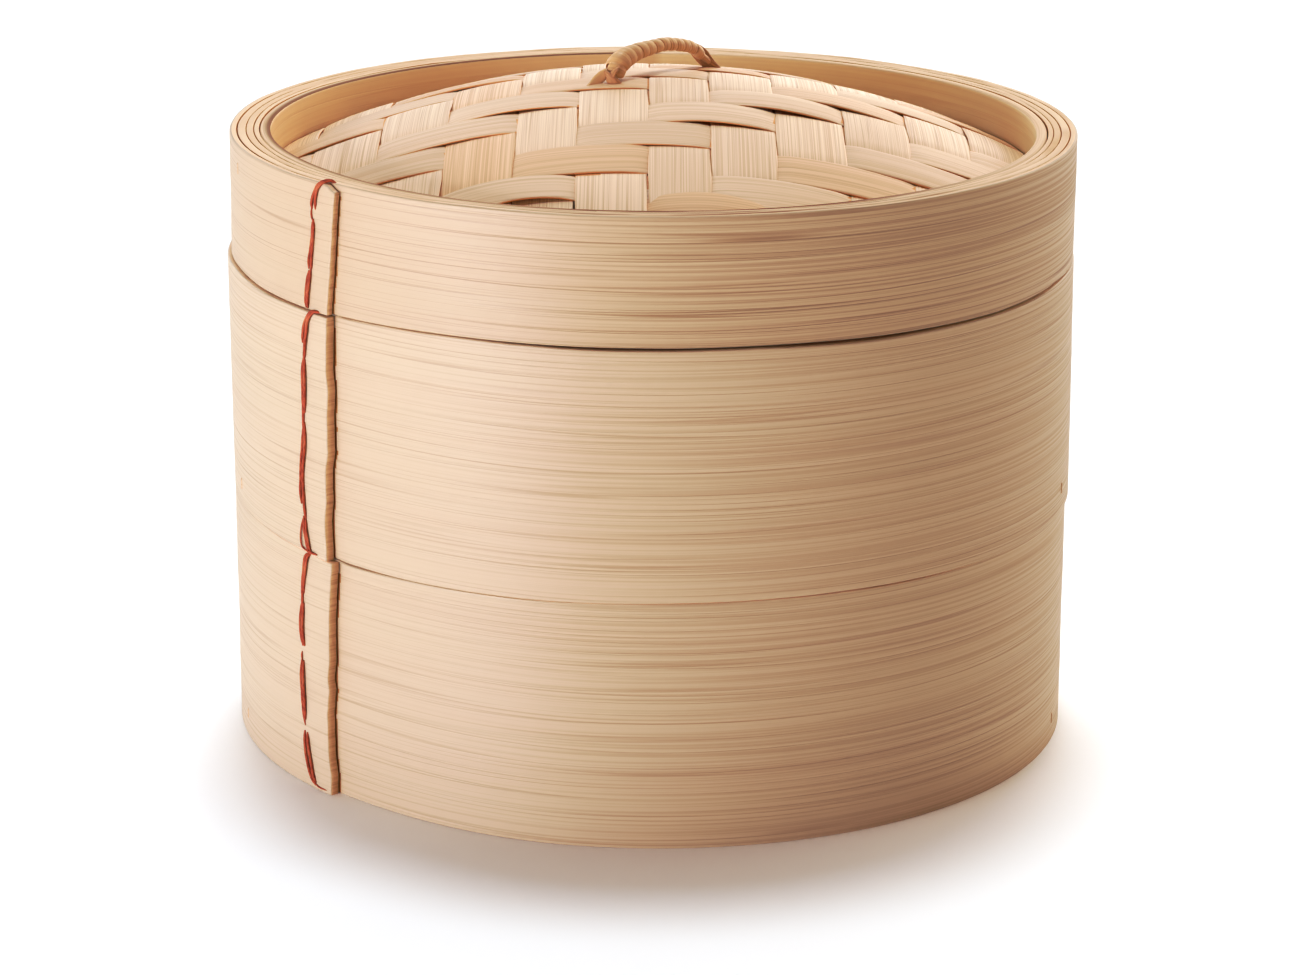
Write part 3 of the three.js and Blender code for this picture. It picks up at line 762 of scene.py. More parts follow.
def wall_looks(angle, rows, height, lap, seed):
    """The surface of each face of the strip, and how much painted shade each point has: the rim browner at
    the front, and a shadow line beside the lap.
    """
    kinds = np.full((2, len(angle) - 1, len(rows) - 1), 3)
    kinds[:, :, -2:] = 1
    covered = 360 + LAP_ANGLE - lap - LAP_SHADOW + np.where(rows > height - 2, 3, 0)
    open_face = angle[1:, None] < covered[None, 1:]
    kinds[0][open_face] = 0
    # Painted shadow: a thin line of the turn below, beside the lap's end, is painted fully brown
    under = (angle[:, None] > covered[None, :] - 0.2) & (angle[:, None] < 366) & (rows < height - 1)[None, :]
    uneven = 0.75 + 0.25 * Waves(seed + 12, 34, 4)(angle * 1.3)
    first, others = np.array(RIM_SHADES)
    shades = np.where(angle < 360, first[:, None], others[:, None]) * front_shade(bearing_of(angle)) * uneven
    return kinds, np.where(under[None], 1.0, shades[:, :, None])


def wall_half(body, angle, rows, height, width):
    """Half thickness of the strip, with its rounded edges and its end."""
    from_edge = np.minimum(rows * EDGE_ROUND / FOOT_ROUND, height - rows)
    edge_share = np.where(rows < height / 2, *LEAST_EDGE[body])[None, :]
    least = edge_share + (INNER_EDGE - edge_share) * smooth((angle - 320) / 40)[:, None]
    half = rounded(from_edge[None, :], EDGE_ROUND, 0.5, least) * width[:, None]
    end_round = rounded(angle, 0.4, 1.0)[:, None]
    return half * np.where(angle[:, None] < 0.4, 0.7 + 0.3 * end_round, 1.0)


def coiled_wall(body, base, seed, row_spacing):
    """One long strip wound inwards from the lap. Rows of points run along it, columns across it."""
    height = HEIGHTS[body] - RIM_WEAR[body][0]
    angle = wall_angles(len(LAYERS[body]))
    rows = wall_rows(height, row_spacing)
    radius, width = layer_at(LAYERS[body], angle)
    turn = np.minimum((angle // 360).astype(int), len(LAYERS[body]) - 1)
    lap_heights, lap_bearings = np.array(LAP_LINES[body]).T
    lap = np.interp(rows, lap_heights, lap_bearings) + Waves(seed + 1, 5, 3)(rows) * LAP_ROUGH
    near_lap = 1 - smooth(angle / LAP_BLEND)
    shifted = angle[:, None] + near_lap[:, None] * (LAP_ANGLE - lap[None, :])
    foot, top = wall_levels(body, height, angle, turn, seed)
    z = foot[:, None] + (top - foot)[:, None] * (rows / height)[None, :]
    ridge = sum(Waves(seed + 4 + n, length, 3)(rows) * size for n, (length, size) in enumerate(
        [(23, 0.03), (9, 0.012), (4, 0.006)]))
    sway = Waves(seed + 8, 240, 3)(angle)[:, None] * Waves(seed + 9, 40, 2)(rows)[None, :] * 0.1
    outer = radius[:, None] + np.minimum(ridge[None, :] + sway - 0.1, 0)
    middle_radius = outer - width[:, None] / 2
    depth = (middle_radius - WALL_INNER) / WALL_THICKNESS
    grown = swell(body, LAP_ANGLE - shifted, z)
    lifted = LAP_LIFT * (1 - smooth(angle / LIFT_LENGTH))[:, None]
    lifted = lifted * (0.7 + 0.3 * Waves(seed + 6, 21, 3)(rows))[None, :]
    middle = polar(middle_radius + grown * depth + lifted, LAP_ANGLE - shifted, base + z)
    normal = polar(1.0, LAP_ANGLE - shifted, 0.0)
    half = wall_half(body, angle, rows, height, width) * (1 + grown / WALL_THICKNESS)
    uv = spread_uv((np.radians(angle) * radius)[:, None], base + z + seed * 3.7)
    kinds, tint = wall_looks(angle, rows, height, lap, seed)
    skin = "lid_wall" if body == "lid" else "wall"
    surfaces = [materials[kind] for kind in (skin, "edge", "cut", "groove_shade")]
    wall = plate(f"{body}_wall_skin", middle, normal, half, uv, surfaces, kinds, tint)
    finish_piece(wall, body, "wall", f"{body}_wall")


def front_shade(bearing):
    """Painted shade: the layers of the rim are painted browner at the front, for the shade of the steps and
    grooves between them.
    """
    return np.exp(-((bearing - 12) / 42) ** 2)


def rim_drop(bearing, inward):
    """The lid's inner layers stand lower at the front. inward is 0 on the outermost layer, 1 on the ring."""
    return RIM_STEP * inward * (1 - smooth((np.abs(bearing - 15) - 40) / 45))


def edge_drop(body, bearing, inward):
    """How much lower a wall's top edge stands at a bearing. Under a tier or the lid it opens a dark line."""
    if body == "lid":
        return rim_drop(bearing, inward)
    return sum(depth * np.exp(-((bearing - at) / wide) ** 2) for at, wide, depth in DIPS[body])


# Hoops and rings
def hoop(name, profile, seed, surfaces, top=None, drop=None):
    """A hoop turned from a profile of (radius, height) points, gently uneven. Above top it takes surface 1.

    drop gives how far its upper half stands lower at each bearing.
    """
    angles = np.arange(0, 360, 1.5)
    profile = np.array(profile, float)
    ring = polar(profile[None, :, 0], angles[:, None], profile[None, :, 1])
    ring[..., 2] += HOOP_WOBBLE * Waves(seed, 120, 3)(np.minimum(angles, 360 - angles))[:, None]
    bearing = (angles + 180) % 360 - 180
    if drop is not None:
        high = smooth((profile[:, 1] - profile[:, 1].mean()) / 2)
        ring[..., 2] -= drop(bearing, 1.0)[:, None] * high[None, :]
    # Painted shade: the hoop's top is browner at the front, and the upper ring's inner side browner towards
    # the left, where it lies in shade
    shade = front_shade(bearing)
    left = 0.8 * smooth((-bearing + 20) / 60) * (1 if drop is not None else 0)
    inside = profile[:, 0] < profile[:, 0].mean()
    tint = np.where(inside[None, :], np.maximum(shade, left)[:, None], shade[:, None]).ravel()
    around = reach_of(np.vstack([profile, profile[:1]]))
    along = np.radians(np.append(angles, 360)) * profile[:, 0].mean()
    uv = spread_uv(along[:, None], around[None, :] + seed * 5.1)
    kinds = None
    if top is not None:
        kinds = (np.minimum(profile[:, 1], np.roll(profile[:, 1], -1)) > top).astype(int)
    return sweep(name, ring, uv, surfaces, kinds, closed=True, tint=tint)


def rounded_profile(corners, radius, spacing):
    """Corner points of a closed outline with small rounded corners and points along the long sides."""
    corners = np.array(corners, float)
    points = []
    count = len(corners)
    for i in range(count):
        before, here, after = corners[i - 1], corners[i], corners[(i + 1) % count]
        back = (before - here) / np.linalg.norm(before - here)
        on = (after - here) / np.linalg.norm(after - here)
        start, stop = here + back * radius, here + on * radius
        for t in (0, 0.33, 0.67, 1):
            points.append((1 - t) ** 2 * start + 2 * t * (1 - t) * here + t ** 2 * stop)
        length = np.linalg.norm(after - here) - 2 * radius
        steps = int(length / spacing)
        for k in range(1, steps):
            points.append(stop + on * length * k / steps)
    return np.array(points)


PEG_OUTLINE = rounded_profile([(-0.5, -0.5), (0.5, -0.5), (0.5, 0.5), (-0.5, 0.5)], 0.16, 0.3)


def tier_hoops(name, base, seed):
    foot = FLOOR_HEIGHT + SLAT_THICKNESS + FIT
    shoulder = TIER_HEIGHT - FIT
    top = TIER_HEIGHT + SPIGOT_RISE
    corners = [
        (HOOP_INNER, foot), (HOOP_OUTER, foot), (HOOP_OUTER, shoulder - 0.5),
        (SPIGOT_OUTER, shoulder), (SPIGOT_OUTER, top), (HOOP_INNER, top),
    ]
    spigot = hoop(f"{name}_spigot_hoop_skin", rounded_profile(corners, 0.22, 2.0) + [0, base], seed,
                  [materials["hoop"], materials["edge"]], base + top - 0.25)
    support_top = FLOOR_HEIGHT - FIT
    corners = [
        (HOOP_INNER, SUPPORT_BASE), (HOOP_OUTER, SUPPORT_BASE),
        (HOOP_OUTER, support_top), (HOOP_INNER, support_top),
    ]
    support = hoop(f"{name}_support_hoop_skin", rounded_profile(corners, 0.3, 1.0) + [0, base], seed + 1,
                   [materials["hoop"]])
    finish_piece(spigot, name, "hoop", f"{name}_spigot_hoop")
    finish_piece(support, name, "hoop", f"{name}_support_hoop")


# Tier floor
def board(name, length, width, thickness, node_places, seed, material, ends=None):
    """A flat bamboo slat along Y with rounded edges and a low ridge at each node of the cane."""
    half_width = width / 2
    across = half_width * np.array([-1, -0.985, -0.95, -0.88, -0.6, -0.3, 0, 0.3, 0.6, 0.88, 0.95, 0.985, 1])
    span = np.concatenate([[0, 0.0012, 0.004, 0.01], np.linspace(0.02, 0.98, 90), [0.99, 0.996, 0.9988, 1]])
    wave = Waves(seed, 60, 3)
    x = np.broadcast_to(across[None, :], (len(span), len(across))).copy()
    reach = ends(x) if ends is not None else np.full_like(x, length / 2)
    y = reach * (2 * span[:, None] - 1)
    x += 0.25 * wave(y) * (np.abs(across[None, :]) / half_width)
    ridge = sum(np.exp(-((y - at) / 1.6) ** 2) - 0.6 * np.exp(-((y - at - 3.2) / 1.4) ** 2)
                for at in node_places)
    edge = rounded(half_width - np.abs(across), 1.1, thickness / 2)
    tip = rounded(np.minimum(span, 1 - span) * length, 0.8, 1.0)
    half = edge[None, :] * tip[:, None] - 0.12 + 0.1 * ridge
    middle = np.stack([x, y, np.zeros_like(x)], axis=-1)
    normal = np.zeros_like(middle)
    normal[..., 2] = 1
    uv = spread_uv(y + seed * 61.7, x + seed * 23.1)
    return plate(name, middle, normal, half, uv, [material])


def tier_floor(name, base, seed):
    rng = np.random.default_rng(seed)
    reach = HOOP_OUTER * FACET_SHARE
    for i in range(SLAT_COUNT):
        centre = (i - (SLAT_COUNT - 1) / 2) * SLAT_PITCH
        places = [rng.uniform(-60, 60) for _ in range(2 if i % 2 else 1)]

        def ends(x, centre=centre):
            return np.sqrt(reach ** 2 - (x + centre) ** 2) - 0.05

        slat = board(f"{name}_slat_{i + 1}_skin", 2 * reach, SLAT_WIDTH, SLAT_THICKNESS, places,
                     seed * 10 + i, materials["slat"], ends)
        slat.data.transform(Matrix.Translation(place((centre, 0, base + FLOOR_HEIGHT + SLAT_THICKNESS / 2))))
        finish_piece(slat, name, "slat", f"{name}_slat_{i + 1}")
    for label, side in (("front", -1), ("back", 1)):
        edge = BAR_OFFSET + BAR_WIDTH / 2
        length = 2 * (math.sqrt((HOOP_INNER * FACET_SHARE) ** 2 - edge ** 2) - FIT)
        bar = board(f"{name}_bar_{label}", length, BAR_WIDTH, BAR_THICKNESS, [rng.uniform(-50, 50)],
                    seed * 10 + 8 + side, materials["slat"])
        turn = Matrix.Rotation(math.radians(90), 4, "Z")
        z = base + FLOOR_HEIGHT - FIT - BAR_THICKNESS / 2
        bar.data.transform(Matrix.Translation(place((0, side * BAR_OFFSET, z))) @ turn)
        pegs = floor_pegs(f"{name}_pegs_{label}", name, length / 2, side * BAR_OFFSET, base, seed + side)
        bar = join(f"{name}_crossbar_{label}_skin", [bar, *pegs])
        finish_piece(bar, name, "slat", f"{name}_crossbar_{label}")


def peg(name, sections, reach, seed=0):
    """A wooden peg from its sections. reach is where each one lies along it."""
    uv = spread_uv(reach[:, None], np.linspace(0, 8, len(PEG_OUTLINE) + 1)[None, :] + seed)
    return sweep(name, sections, uv, [materials["edge"]], tint=PEG_TINT)


def floor_pegs(name, body, start, y, base, seed):
    """The two wooden pegs that pin a crossbar through the wall; their heads show on its face."""
    pegs = []
    shrink = np.array([1, 1, 1, 0.94, 0.8])
    for side in (-1, 1):
        bulge = float(swell(body, math.degrees(math.atan2(side * OUTER_RADIUS, -y)), FLOOR_PEG_Z))
        end = math.sqrt((OUTER_RADIUS + bulge) ** 2 - y ** 2)
        xs = np.array([start - 6, start, end - 0.5, end - 0.15, end])
        sections = np.zeros((len(xs), len(PEG_OUTLINE), 3))
        sections[..., 0] = side * xs[:, None]
        sections[..., 1] = y + shrink[:, None] * PEG_OUTLINE[None, :, 0] * PEG_WIDTH
        sections[..., 2] = base + FLOOR_PEG_Z + shrink[:, None] * PEG_OUTLINE[None, :, 1] * PEG_HEIGHT
        pegs.append(peg(f"{name}_{side}", sections, xs, seed))
    return pegs


def lid_peg(name, angle):
    radii = np.array([HOOP_OUTER - 1, HOOP_OUTER + 2, OUTER_RADIUS - 0.6, OUTER_RADIUS, OUTER_RADIUS + 0.06])
    shrink = np.array([1, 1, 1, 0.92, 0.75])
    spread = np.degrees(shrink[:, None] * PEG_OUTLINE[None, :, 0] * PEG_WIDTH / radii[:, None])
    z = LID_BASE + LID_PEG_Z + shrink[:, None] * PEG_OUTLINE[None, :, 1] * PEG_HEIGHT
    return peg(name, polar(radii[:, None], angle + spread, z), radii)


# Woven dome
def dome(x, y):
    return DOME_APEX - (x ** 2 + y ** 2) / (2 * DOME_RADIUS)


def warp_is_over(warp, weft):
    return (weft - warp + 1) % 4 < 2


def strip_border(kind, number):
    """Where the band of a strip begins, across the weave."""
    if kind == "weft":
        return WEFT_SHIFT + (number - 0.5) * WEFT_PITCH
    shift = np.interp(number - WARPS[0], np.arange(len(WARP_BORDERS)), WARP_BORDERS)
    return WARP_SHIFT + (number - 0.5) * WARP_PITCH + float(shift)


def crossings(kind, number):
    """For one strip: where the bands that it crosses begin and end, and if it lies over each."""
    if kind == "warp":
        bands = [("weft", m, warp_is_over(number, m)) for m in range(-9, 10)]
    else:
        bands = [("warp", k, not warp_is_over(k, number)) for k in range(-8, 8)]
    return [(strip_border(other, n), strip_border(other, n + 1), over) for other, n, over in bands]


def float_profile(kind, number, along, arch_seed):
    """Lift of a strip along its length, and how far along its float each point is."""
    places = crossings(kind, number)
    arches = ARCHES.get(number, []) if kind == "weft" else []
    rng = np.random.default_rng(arch_seed)
    lift = np.zeros_like(along)
    arch = np.zeros_like(along)
    i = 0
    while i < len(places):
        over = places[i][2]
        j = i
        while j + 1 < len(places) and places[j + 1][2] == over:
            j += 1
        start, stop = places[i][0], places[j][1]
        inside = (along >= start) & (along < stop)
        edge = np.minimum(along - start, stop - along)
        rise = np.sin(math.pi / 2 * np.clip(edge / DIVE_LENGTH, 0, 1))
        lift[inside] = (rise if over else -rise)[inside]
        bow = np.sin(math.pi * np.clip((along - start) / (stop - start), 0, 1))
        height = rng.uniform(0.05, 0.4) if over else 0.0
        height = max([height] + [arch_height for at, arch_height in arches if start < at < stop])
        arch[inside] = (bow * height)[inside]
        i = j + 1
    return lift, arch


def strip_outline(kind, number, seed):
    """Where a strip's points lie along it, across the weave and across the strip, and the strip's width."""
    low = max(strip_border(kind, number) + STRIP_GAP / 2, -WEAVE_RADIUS + WEAVE_MARGIN)
    high = min(strip_border(kind, number + 1) - STRIP_GAP / 2, WEAVE_RADIUS - WEAVE_MARGIN)
    share = np.array([0, 0.012, 0.04, 0.09, 0.2, 0.35, 0.5, 0.65, 0.8, 0.91, 0.96, 0.988, 1])
    across = low + (high - low) * share
    nearest = 0.0 if low * high < 0 else min(abs(low), abs(high))
    longest = math.sqrt(WEAVE_RADIUS ** 2 - nearest ** 2)
    span = np.linspace(-1, 1, max(12, int(2 * longest)) + 1)
    reach = np.sqrt(np.maximum(WEAVE_RADIUS ** 2 - across ** 2, 1.0))
    along = span[:, None] * reach[None, :]
    side = 2 * share[None, :] - 1
    edge_wave = np.where(side < 0, Waves(seed + 1, 46, 4)(along), Waves(seed + 2, 46, 4)(along))
    offset = across + edge_wave * 0.2 * np.abs(side)
    if kind == "weft" and number in STRAYS:
        at, front_edge, back_edge = STRAYS[number]
        stray = front_edge + (back_edge - front_edge) * share
        offset = offset + stray * np.exp(-((along - at) / STRAY_LENGTH) ** 2)
    return along, offset, share, high - low


def weave_strip(kind, number, index):
    """One strip of the dome, with its rise and fall over the strips that it crosses."""
    seed = index * 17 + (400 if kind == "warp" else 900)
    rng = np.random.default_rng(seed)
    along, offset, share, width = strip_outline(kind, number, seed)
    side = 2 * share[None, :] - 1
    lift, arch = float_profile(kind, number, along, seed + 3)
    near_rim = smooth((WEAVE_RADIUS - 3.0 - np.hypot(along, offset)) / 9)
    crown = (0.16 if kind == "warp" else 0.22) * (1 - side ** 2)
    rise = WEAVE_LIFT * lift + near_rim * (arch + crown * (0.4 + 0.6 * (lift > 0)))
    tilt = rng.uniform(-0.1, 0.1) * side * near_rim
    x, y = (offset, along) if kind == "warp" else (along, offset)
    middle = np.stack([x, y, dome(x, y) + rise + tilt], axis=-1)
    normal = np.stack([x / DOME_RADIUS, y / DOME_RADIUS, np.ones_like(x)], axis=-1)
    normal /= np.linalg.norm(normal, axis=-1)[..., None]
    half = rounded(np.minimum(share, 1 - share) * width, 0.4, STRIP_THICKNESS / 2)
    half = np.broadcast_to(half[None, :], along.shape)
    uv = spread_uv(along + seed * 97.3, offset + seed * 13.9)
    kinds = np.zeros((2, along.shape[0] - 1, along.shape[1] - 1), int)
    # Painted shade: where a strip dips under others it takes the orange edge surface
    kinds[0][(lift[1:, 1:] < COVERED_LIFT) & (y[1:, 1:] > COVERED_FRONT)] = 1
    kinds[1] = 1
    surfaces = [materials[kind], materials["weave_edge"]]
    name = f"lid_{kind}_{index:02d}"
    strip = plate(f"{name}_skin", middle, normal, half, uv, surfaces, kinds, rng.uniform(0.2, 0.8))
    finish_piece(strip, "lid", "weave", name)


def lining():
    """The inner layer under the dome, woven of narrower strips."""
    pitch = LINING_PITCH
    radii = np.concatenate([[0.4], np.linspace(1.5, HOOP_OUTER, 88)])
    angles = np.arange(0, 360, 1.8)
    ring = polar(radii[:, None], angles[None, :], 0.0)
    x, y = ring[..., 0], ring[..., 1]
    column, row = np.floor(x / pitch), np.floor(y / pitch)
    over = (column + row) % 2 < 1
    in_x = np.abs(x / pitch - column - 0.5) * 2
    in_y = np.abs(y / pitch - row - 0.5) * 2
    across, along = np.where(over, in_x, in_y), np.where(over, in_y, in_x)
    bulge = (1 - across ** 4) * (0.6 + 0.4 * (1 - along ** 2))
    relief = 0.3 * bulge * smooth((HOOP_INNER - radii[:, None]) / 3)
    top = np.stack([x, y, dome(x, y) + LINING_TOP - 0.3 + 0.3 * relief], axis=-1)
    bottom = np.stack([x, y, dome(x, y) + LINING_BOTTOM + 0.3 - relief], axis=-1)
    rows, columns = x.shape
    points = np.concatenate([top.reshape(-1, 3), bottom.reshape(-1, 3)])
    size = rows * columns
    face = grid_quads(rows, columns, wrap_columns=True)
    rim = []
    for row_at in (0, rows - 1):
        a = row_at * columns + np.arange(columns)
        b = row_at * columns + (np.arange(columns) + 1) % columns
        side = np.stack([a, b, b + size, a + size], axis=1)
        rim.append(side if row_at == 0 else side[:, ::-1])
    quads = np.concatenate([face, face[:, ::-1] + size, *rim])
    uv = spread_uv(np.where(over, y + column * 37, x + row * 41), np.where(over, x, y)).reshape(-1, 2)
    uvs = np.concatenate([uv, uv])
    sheet = make_mesh("lid_lining_skin", points, quads, uvs[quads], [materials["lining"]], tint=0.5)
    finish_piece(sheet, "lid", "lining", "lid_lining")


def lid_rings():
    foot = LID_BASE + SUPPORT_BASE
    under = [dome(r, 0) + LOWER_RING_TOP for r in (HOOP_INNER, HOOP_OUTER)]
    corners = [(HOOP_INNER, foot), (HOOP_OUTER, foot), (HOOP_OUTER, under[1]), (HOOP_INNER, under[0])]
    lower = hoop("lid_lower_ring_skin", rounded_profile(corners, 0.3, 1.4), 31, [materials["hoop"]])
    finish_piece(lower, "lid", "hoop", "lid_lower_ring")
    over = [dome(r, 0) + UPPER_RING_FOOT for r in (HOOP_INNER, HOOP_OUTER)]
    top = LID_BASE + LID_HEIGHT - 0.12
    corners = [(HOOP_INNER, over[0]), (HOOP_OUTER, over[1]), (HOOP_OUTER, top), (HOOP_INNER, top)]
    upper = hoop("lid_upper_ring_body", rounded_profile(corners, 0.6, 1.0), 37,
                 [materials["lid_ring"], materials["edge"]], top - 0.5, rim_drop)
    pegs = [lid_peg(f"lid_peg_{n}", angle) for n, angle in enumerate(LID_PEG_ANGLES)]
    upper = join("lid_upper_ring_skin", [upper, *pegs])
    finish_piece(upper, "lid", "hoop", "lid_upper_ring")


# Handle
def handle_path():
    left, right = np.array(HANDLE_LEFT), np.array(HANDLE_RIGHT)
    span = right - left
    along = span / np.linalg.norm(span)
    under = LINING_BOTTOM - FIT - CORE_RADIUS - 0.5
    bend = 1.2

    def at(plan, rise):
        return [*plan, dome(*plan) + rise]

    arch = []
    for share, height in HANDLE_ARCH:
        plan = left + span * share
        straight = dome(*left) + (dome(*right) - dome(*left)) * share
        arch.append([*plan, straight + 0.5 + HANDLE_RISE * height])
    return [
        at(left - along * HANDLE_LEG, under), at(left - along * 2 * bend, under),
        at(left - along * bend / 4, under + bend / 2), at(left, LINING_BOTTOM + bend), at(left, 1.2),
        *arch,
        at(right, 0.5), at(right, LINING_BOTTOM + bend / 2), at(right + along * bend / 4, under + bend / 2),
        at(right + along * 2 * bend, under), at(right + along * HANDLE_LEG, under),
    ]


def along_handle(points):
    """Points given as distance from the left foot towards the right one, height, and offset to the front."""
    left, right = np.array(HANDLE_LEFT), np.array(HANDLE_RIGHT)
    along = (right - left) / np.linalg.norm(right - left)
    front = np.array([along[1], -along[0]])
    s, z, out = np.array(points, float).T
    plan = left + along * s[:, None] + front * out[:, None]
    return np.column_stack([plan, z])


def cane_strip(name, path, across, widths, thickness, surface, count=40, seed=0):
    """A flat strip of cane along a path. across holds the directions of its width, from start to end."""
    line = curve_points(path, count)
    share = np.linspace(0, 1, count)
    width = np.interp(share, np.linspace(0, 1, len(widths)), widths)
    side = read_off(share, np.linspace(0, 1, len(across)), np.array(across, float))
    tangent = directions(line)
    side -= tangent * (side * tangent).sum(1)[:, None]
    side /= np.linalg.norm(side, axis=1)[:, None]
    normal = np.cross(tangent, side)
    place_across = np.array([-1, -0.9, -0.6, -0.2, 0.2, 0.6, 0.9, 1]) / 2
    crown = thickness * 0.5 * (1 - (2 * place_across) ** 2)
    middle = line[:, None] + side[:, None] * (width[:, None] * place_across)[..., None]
    middle = middle + normal[:, None] * crown[None, :, None]
    normals = np.broadcast_to(normal[:, None], middle.shape)
    edge = rounded((0.5 - np.abs(place_across)) * 4, 0.8, thickness / 2)
    half = np.broadcast_to(edge[None, :], middle.shape[:2])
    uv = spread_uv(reach_of(line)[:, None] + seed * 31, width[:, None] * place_across + seed * 7)
    return plate(name, middle, normals, half, uv, [materials[surface]])


# The line of the wrapped arch, as along_handle takes it, its radius from left to right, and its turns
WRAP_LINE = [
    (0.2, 155.2, 0), (0.8, 156.7, 0), (1.8, 158.1, 0), (3.6, 159.3, 0), (6.6, 160.1, 0), (10, 160.65, 0),
    (14, 161.0, 0), (17.5, 161.1, 0), (21, 160.8, 0), (25, 160.05, 0), (28.4, 158.9, 0), (31.2, 157.2, 0),
    (32.8, 155.8, 0),
]
WRAP_RADIUS = [2.5, 2.65, 2.5, 2.2, 1.95, 1.8, 1.65, 1.6, 1.55, 1.5, 1.45, 1.4, 1.3]
WRAP_TURNS = 13
WRAP_STEPS = 28


def handle_wrap():
    """One strip of cane wound along the arch. Each turn's leading edge rides on the turn before."""
    line = curve_points(along_handle(WRAP_LINE), 200)
    reach = reach_of(line)
    total = reach[-1]
    tangent = directions(line)
    side = np.cross(tangent, [0, 0, 1])
    side /= np.linalg.norm(side, axis=1)[:, None]
    up = np.cross(side, tangent)
    width = total / (WRAP_TURNS + 1.1)
    part = np.array([0, 0.04, 0.2, 0.45, 0.7, 0.9, 1.0, 1.04, 0.8, 0.4, 0.1])
    rise = np.array([0.05, 0.2, 0.36, 0.42, 0.4, 0.34, 0.24, 0.08, 0.0, -0.05, -0.08])
    step = np.arange(WRAP_TURNS * WRAP_STEPS + 1)
    turn = 2 * math.pi * step / WRAP_STEPS
    wander = 0.11 * Waves(61, 2.6, 3)(step / WRAP_STEPS)
    at = width * (step / WRAP_STEPS + wander)[:, None] + part[None, :] * width * 1.12
    radius = np.interp(at / total, np.linspace(0, 1, len(WRAP_RADIUS)), WRAP_RADIUS)
    lumps = 0.1 * Waves(67, 1.3, 3)(step / WRAP_STEPS)[:, None]
    distance = radius - 0.36 + rise[None, :] + lumps
    centre, ups, sides = [read_off(at, reach, values) for values in (line, up, side)]
    lean = turn[:, None, None]
    sections = centre + distance[..., None] * (ups * np.cos(lean) + sides * np.sin(lean))
    uv = spread_uv(turn[:, None] * 1.5, np.append(part, part[0])[None, :] * width)
    return sweep("handle_wrap_skin", sections, uv, [materials["cane"]])


# Loose ends of cane: points, directions of the width, widths, thickness and surface
HANDLE_STRIPS = [
    ([(-8.0, -3.9, 158.2), (-9.4, -4.8, 157.2), (-10.2, -5.0, 156.1), (-10.0, -4.8, 154.8),
      (-9.4, -4.6, 153.8)],
     [[0.8, -0.3, 0.5], [0.9, -0.4, 0.1]], [0.6, 1.7, 2.1, 1.9, 1.4], 0.6, "cane_end"),
    ([(-11.4, -3.9, 157.4), (-10.4, -5.0, 156.6), (-9.2, -5.3, 155.5), (-8.6, -5.1, 154.4),
      (-8.6, -5.0, 153.6)],
     [[0.5, -0.1, 0.8], [0.9, -0.3, 0.3]], [0.6, 1.5, 1.8, 2.2, 2.2], 0.6, "cane_end"),
    ([(-10.9, -3.4, 157.4), (-12.1, -3.9, 156.4), (-13.2, -4.5, 155.5), (-14.4, -5.3, 154.7),
      (-15.8, -6.3, 154.2)],
     [[0.75, 0, -0.6], [0.7, 0, -0.7]], [1.7, 2.5, 2.5, 1.7, 0.4], 0.35, "cane"),
    ([(9.2, 21.4, 158.6), (10.5, 22.4, 157.4), (11.5, 23.0, 156.3), (12.7, 23.3, 154.9), (14.2, 23.6, 153.7),
      (16.2, 24.0, 152.8)],
     [[0.6, 0.1, 0.8], [0.55, 0, 0.8], [0.4, 0, 0.9]], [2.6, 3.4, 3.6, 3.2, 2.2, 0.6], 0.5, "cane_end"),
]


def handle():
    path = curve_points(handle_path(), 160)
    core = tube("handle_core_skin", path, CORE_RADIUS, 12, [materials["cane"]])
    finish_piece(core, "lid", "rattan", "handle_core")
    strips = [cane_strip(f"handle_strip_{n}", *strip, seed=n) for n, strip in enumerate(HANDLE_STRIPS)]
    wrap = join("handle_wrap_skin", [handle_wrap(), *strips])
    finish_piece(wrap, "lid", "rattan", "handle_wrap")


# Stitches: strands of red cord on the face. Points give the height above the foot, the bearing and how far
# they stand off the face; then the strand's thickness.
STRANDS = {}
STRANDS["lid"] = [
    ([(29.2, -46.3, -2.6), (29.8, -46.7, -1.6), (29.5, -47.1, -0.2), (28.6, -47.7, 0.3), (27.2, -48.2, 0.35),
      (25.6, -48.7, 0.35), (24.2, -49.0, 0.25), (22.9, -49.1, 0.0)], 0.6),
    ([(29.2, -46.0, -2.7), (29.8, -46.3, -1.7), (29.5, -46.8, -0.3), (28.8, -47.2, 0.25),
      (27.7, -47.7, 0.35), (26.4, -48.0, 0.35), (25.0, -48.2, 0.3), (23.0, -48.4, -0.1)], 0.6),
    ([(23.4, -49.1, 0.1), (21.5, -49.15, 0.15), (19.9, -48.8, 0.15)], 0.36),
    ([(20.7, -48.8, 0.0), (18.7, -48.65, 0.3), (16.4, -48.8, 0.35), (14.0, -49.0, 0.3), (11.7, -49.2, 0.3),
      (9.1, -49.4, 0.1)], 0.62),
    ([(20.0, -49.0, 0.1), (17.0, -49.0, 0.3), (13.6, -49.4, 0.3), (11.3, -49.8, 0.25),
      (9.0, -50.0, 0.0)], 0.5),
    ([(9.2, -49.5, 0.1), (6.5, -49.7, 0.3), (4.0, -50.0, 0.35), (1.7, -50.2, 0.3),
      (-0.1, -50.3, 0.1)], 0.64),
    ([(8.6, -49.9, 0.1), (6.3, -50.2, 0.3), (3.8, -50.5, 0.3), (1.6, -50.7, 0.2), (-0.1, -50.7, 0.0)], 0.56),
]
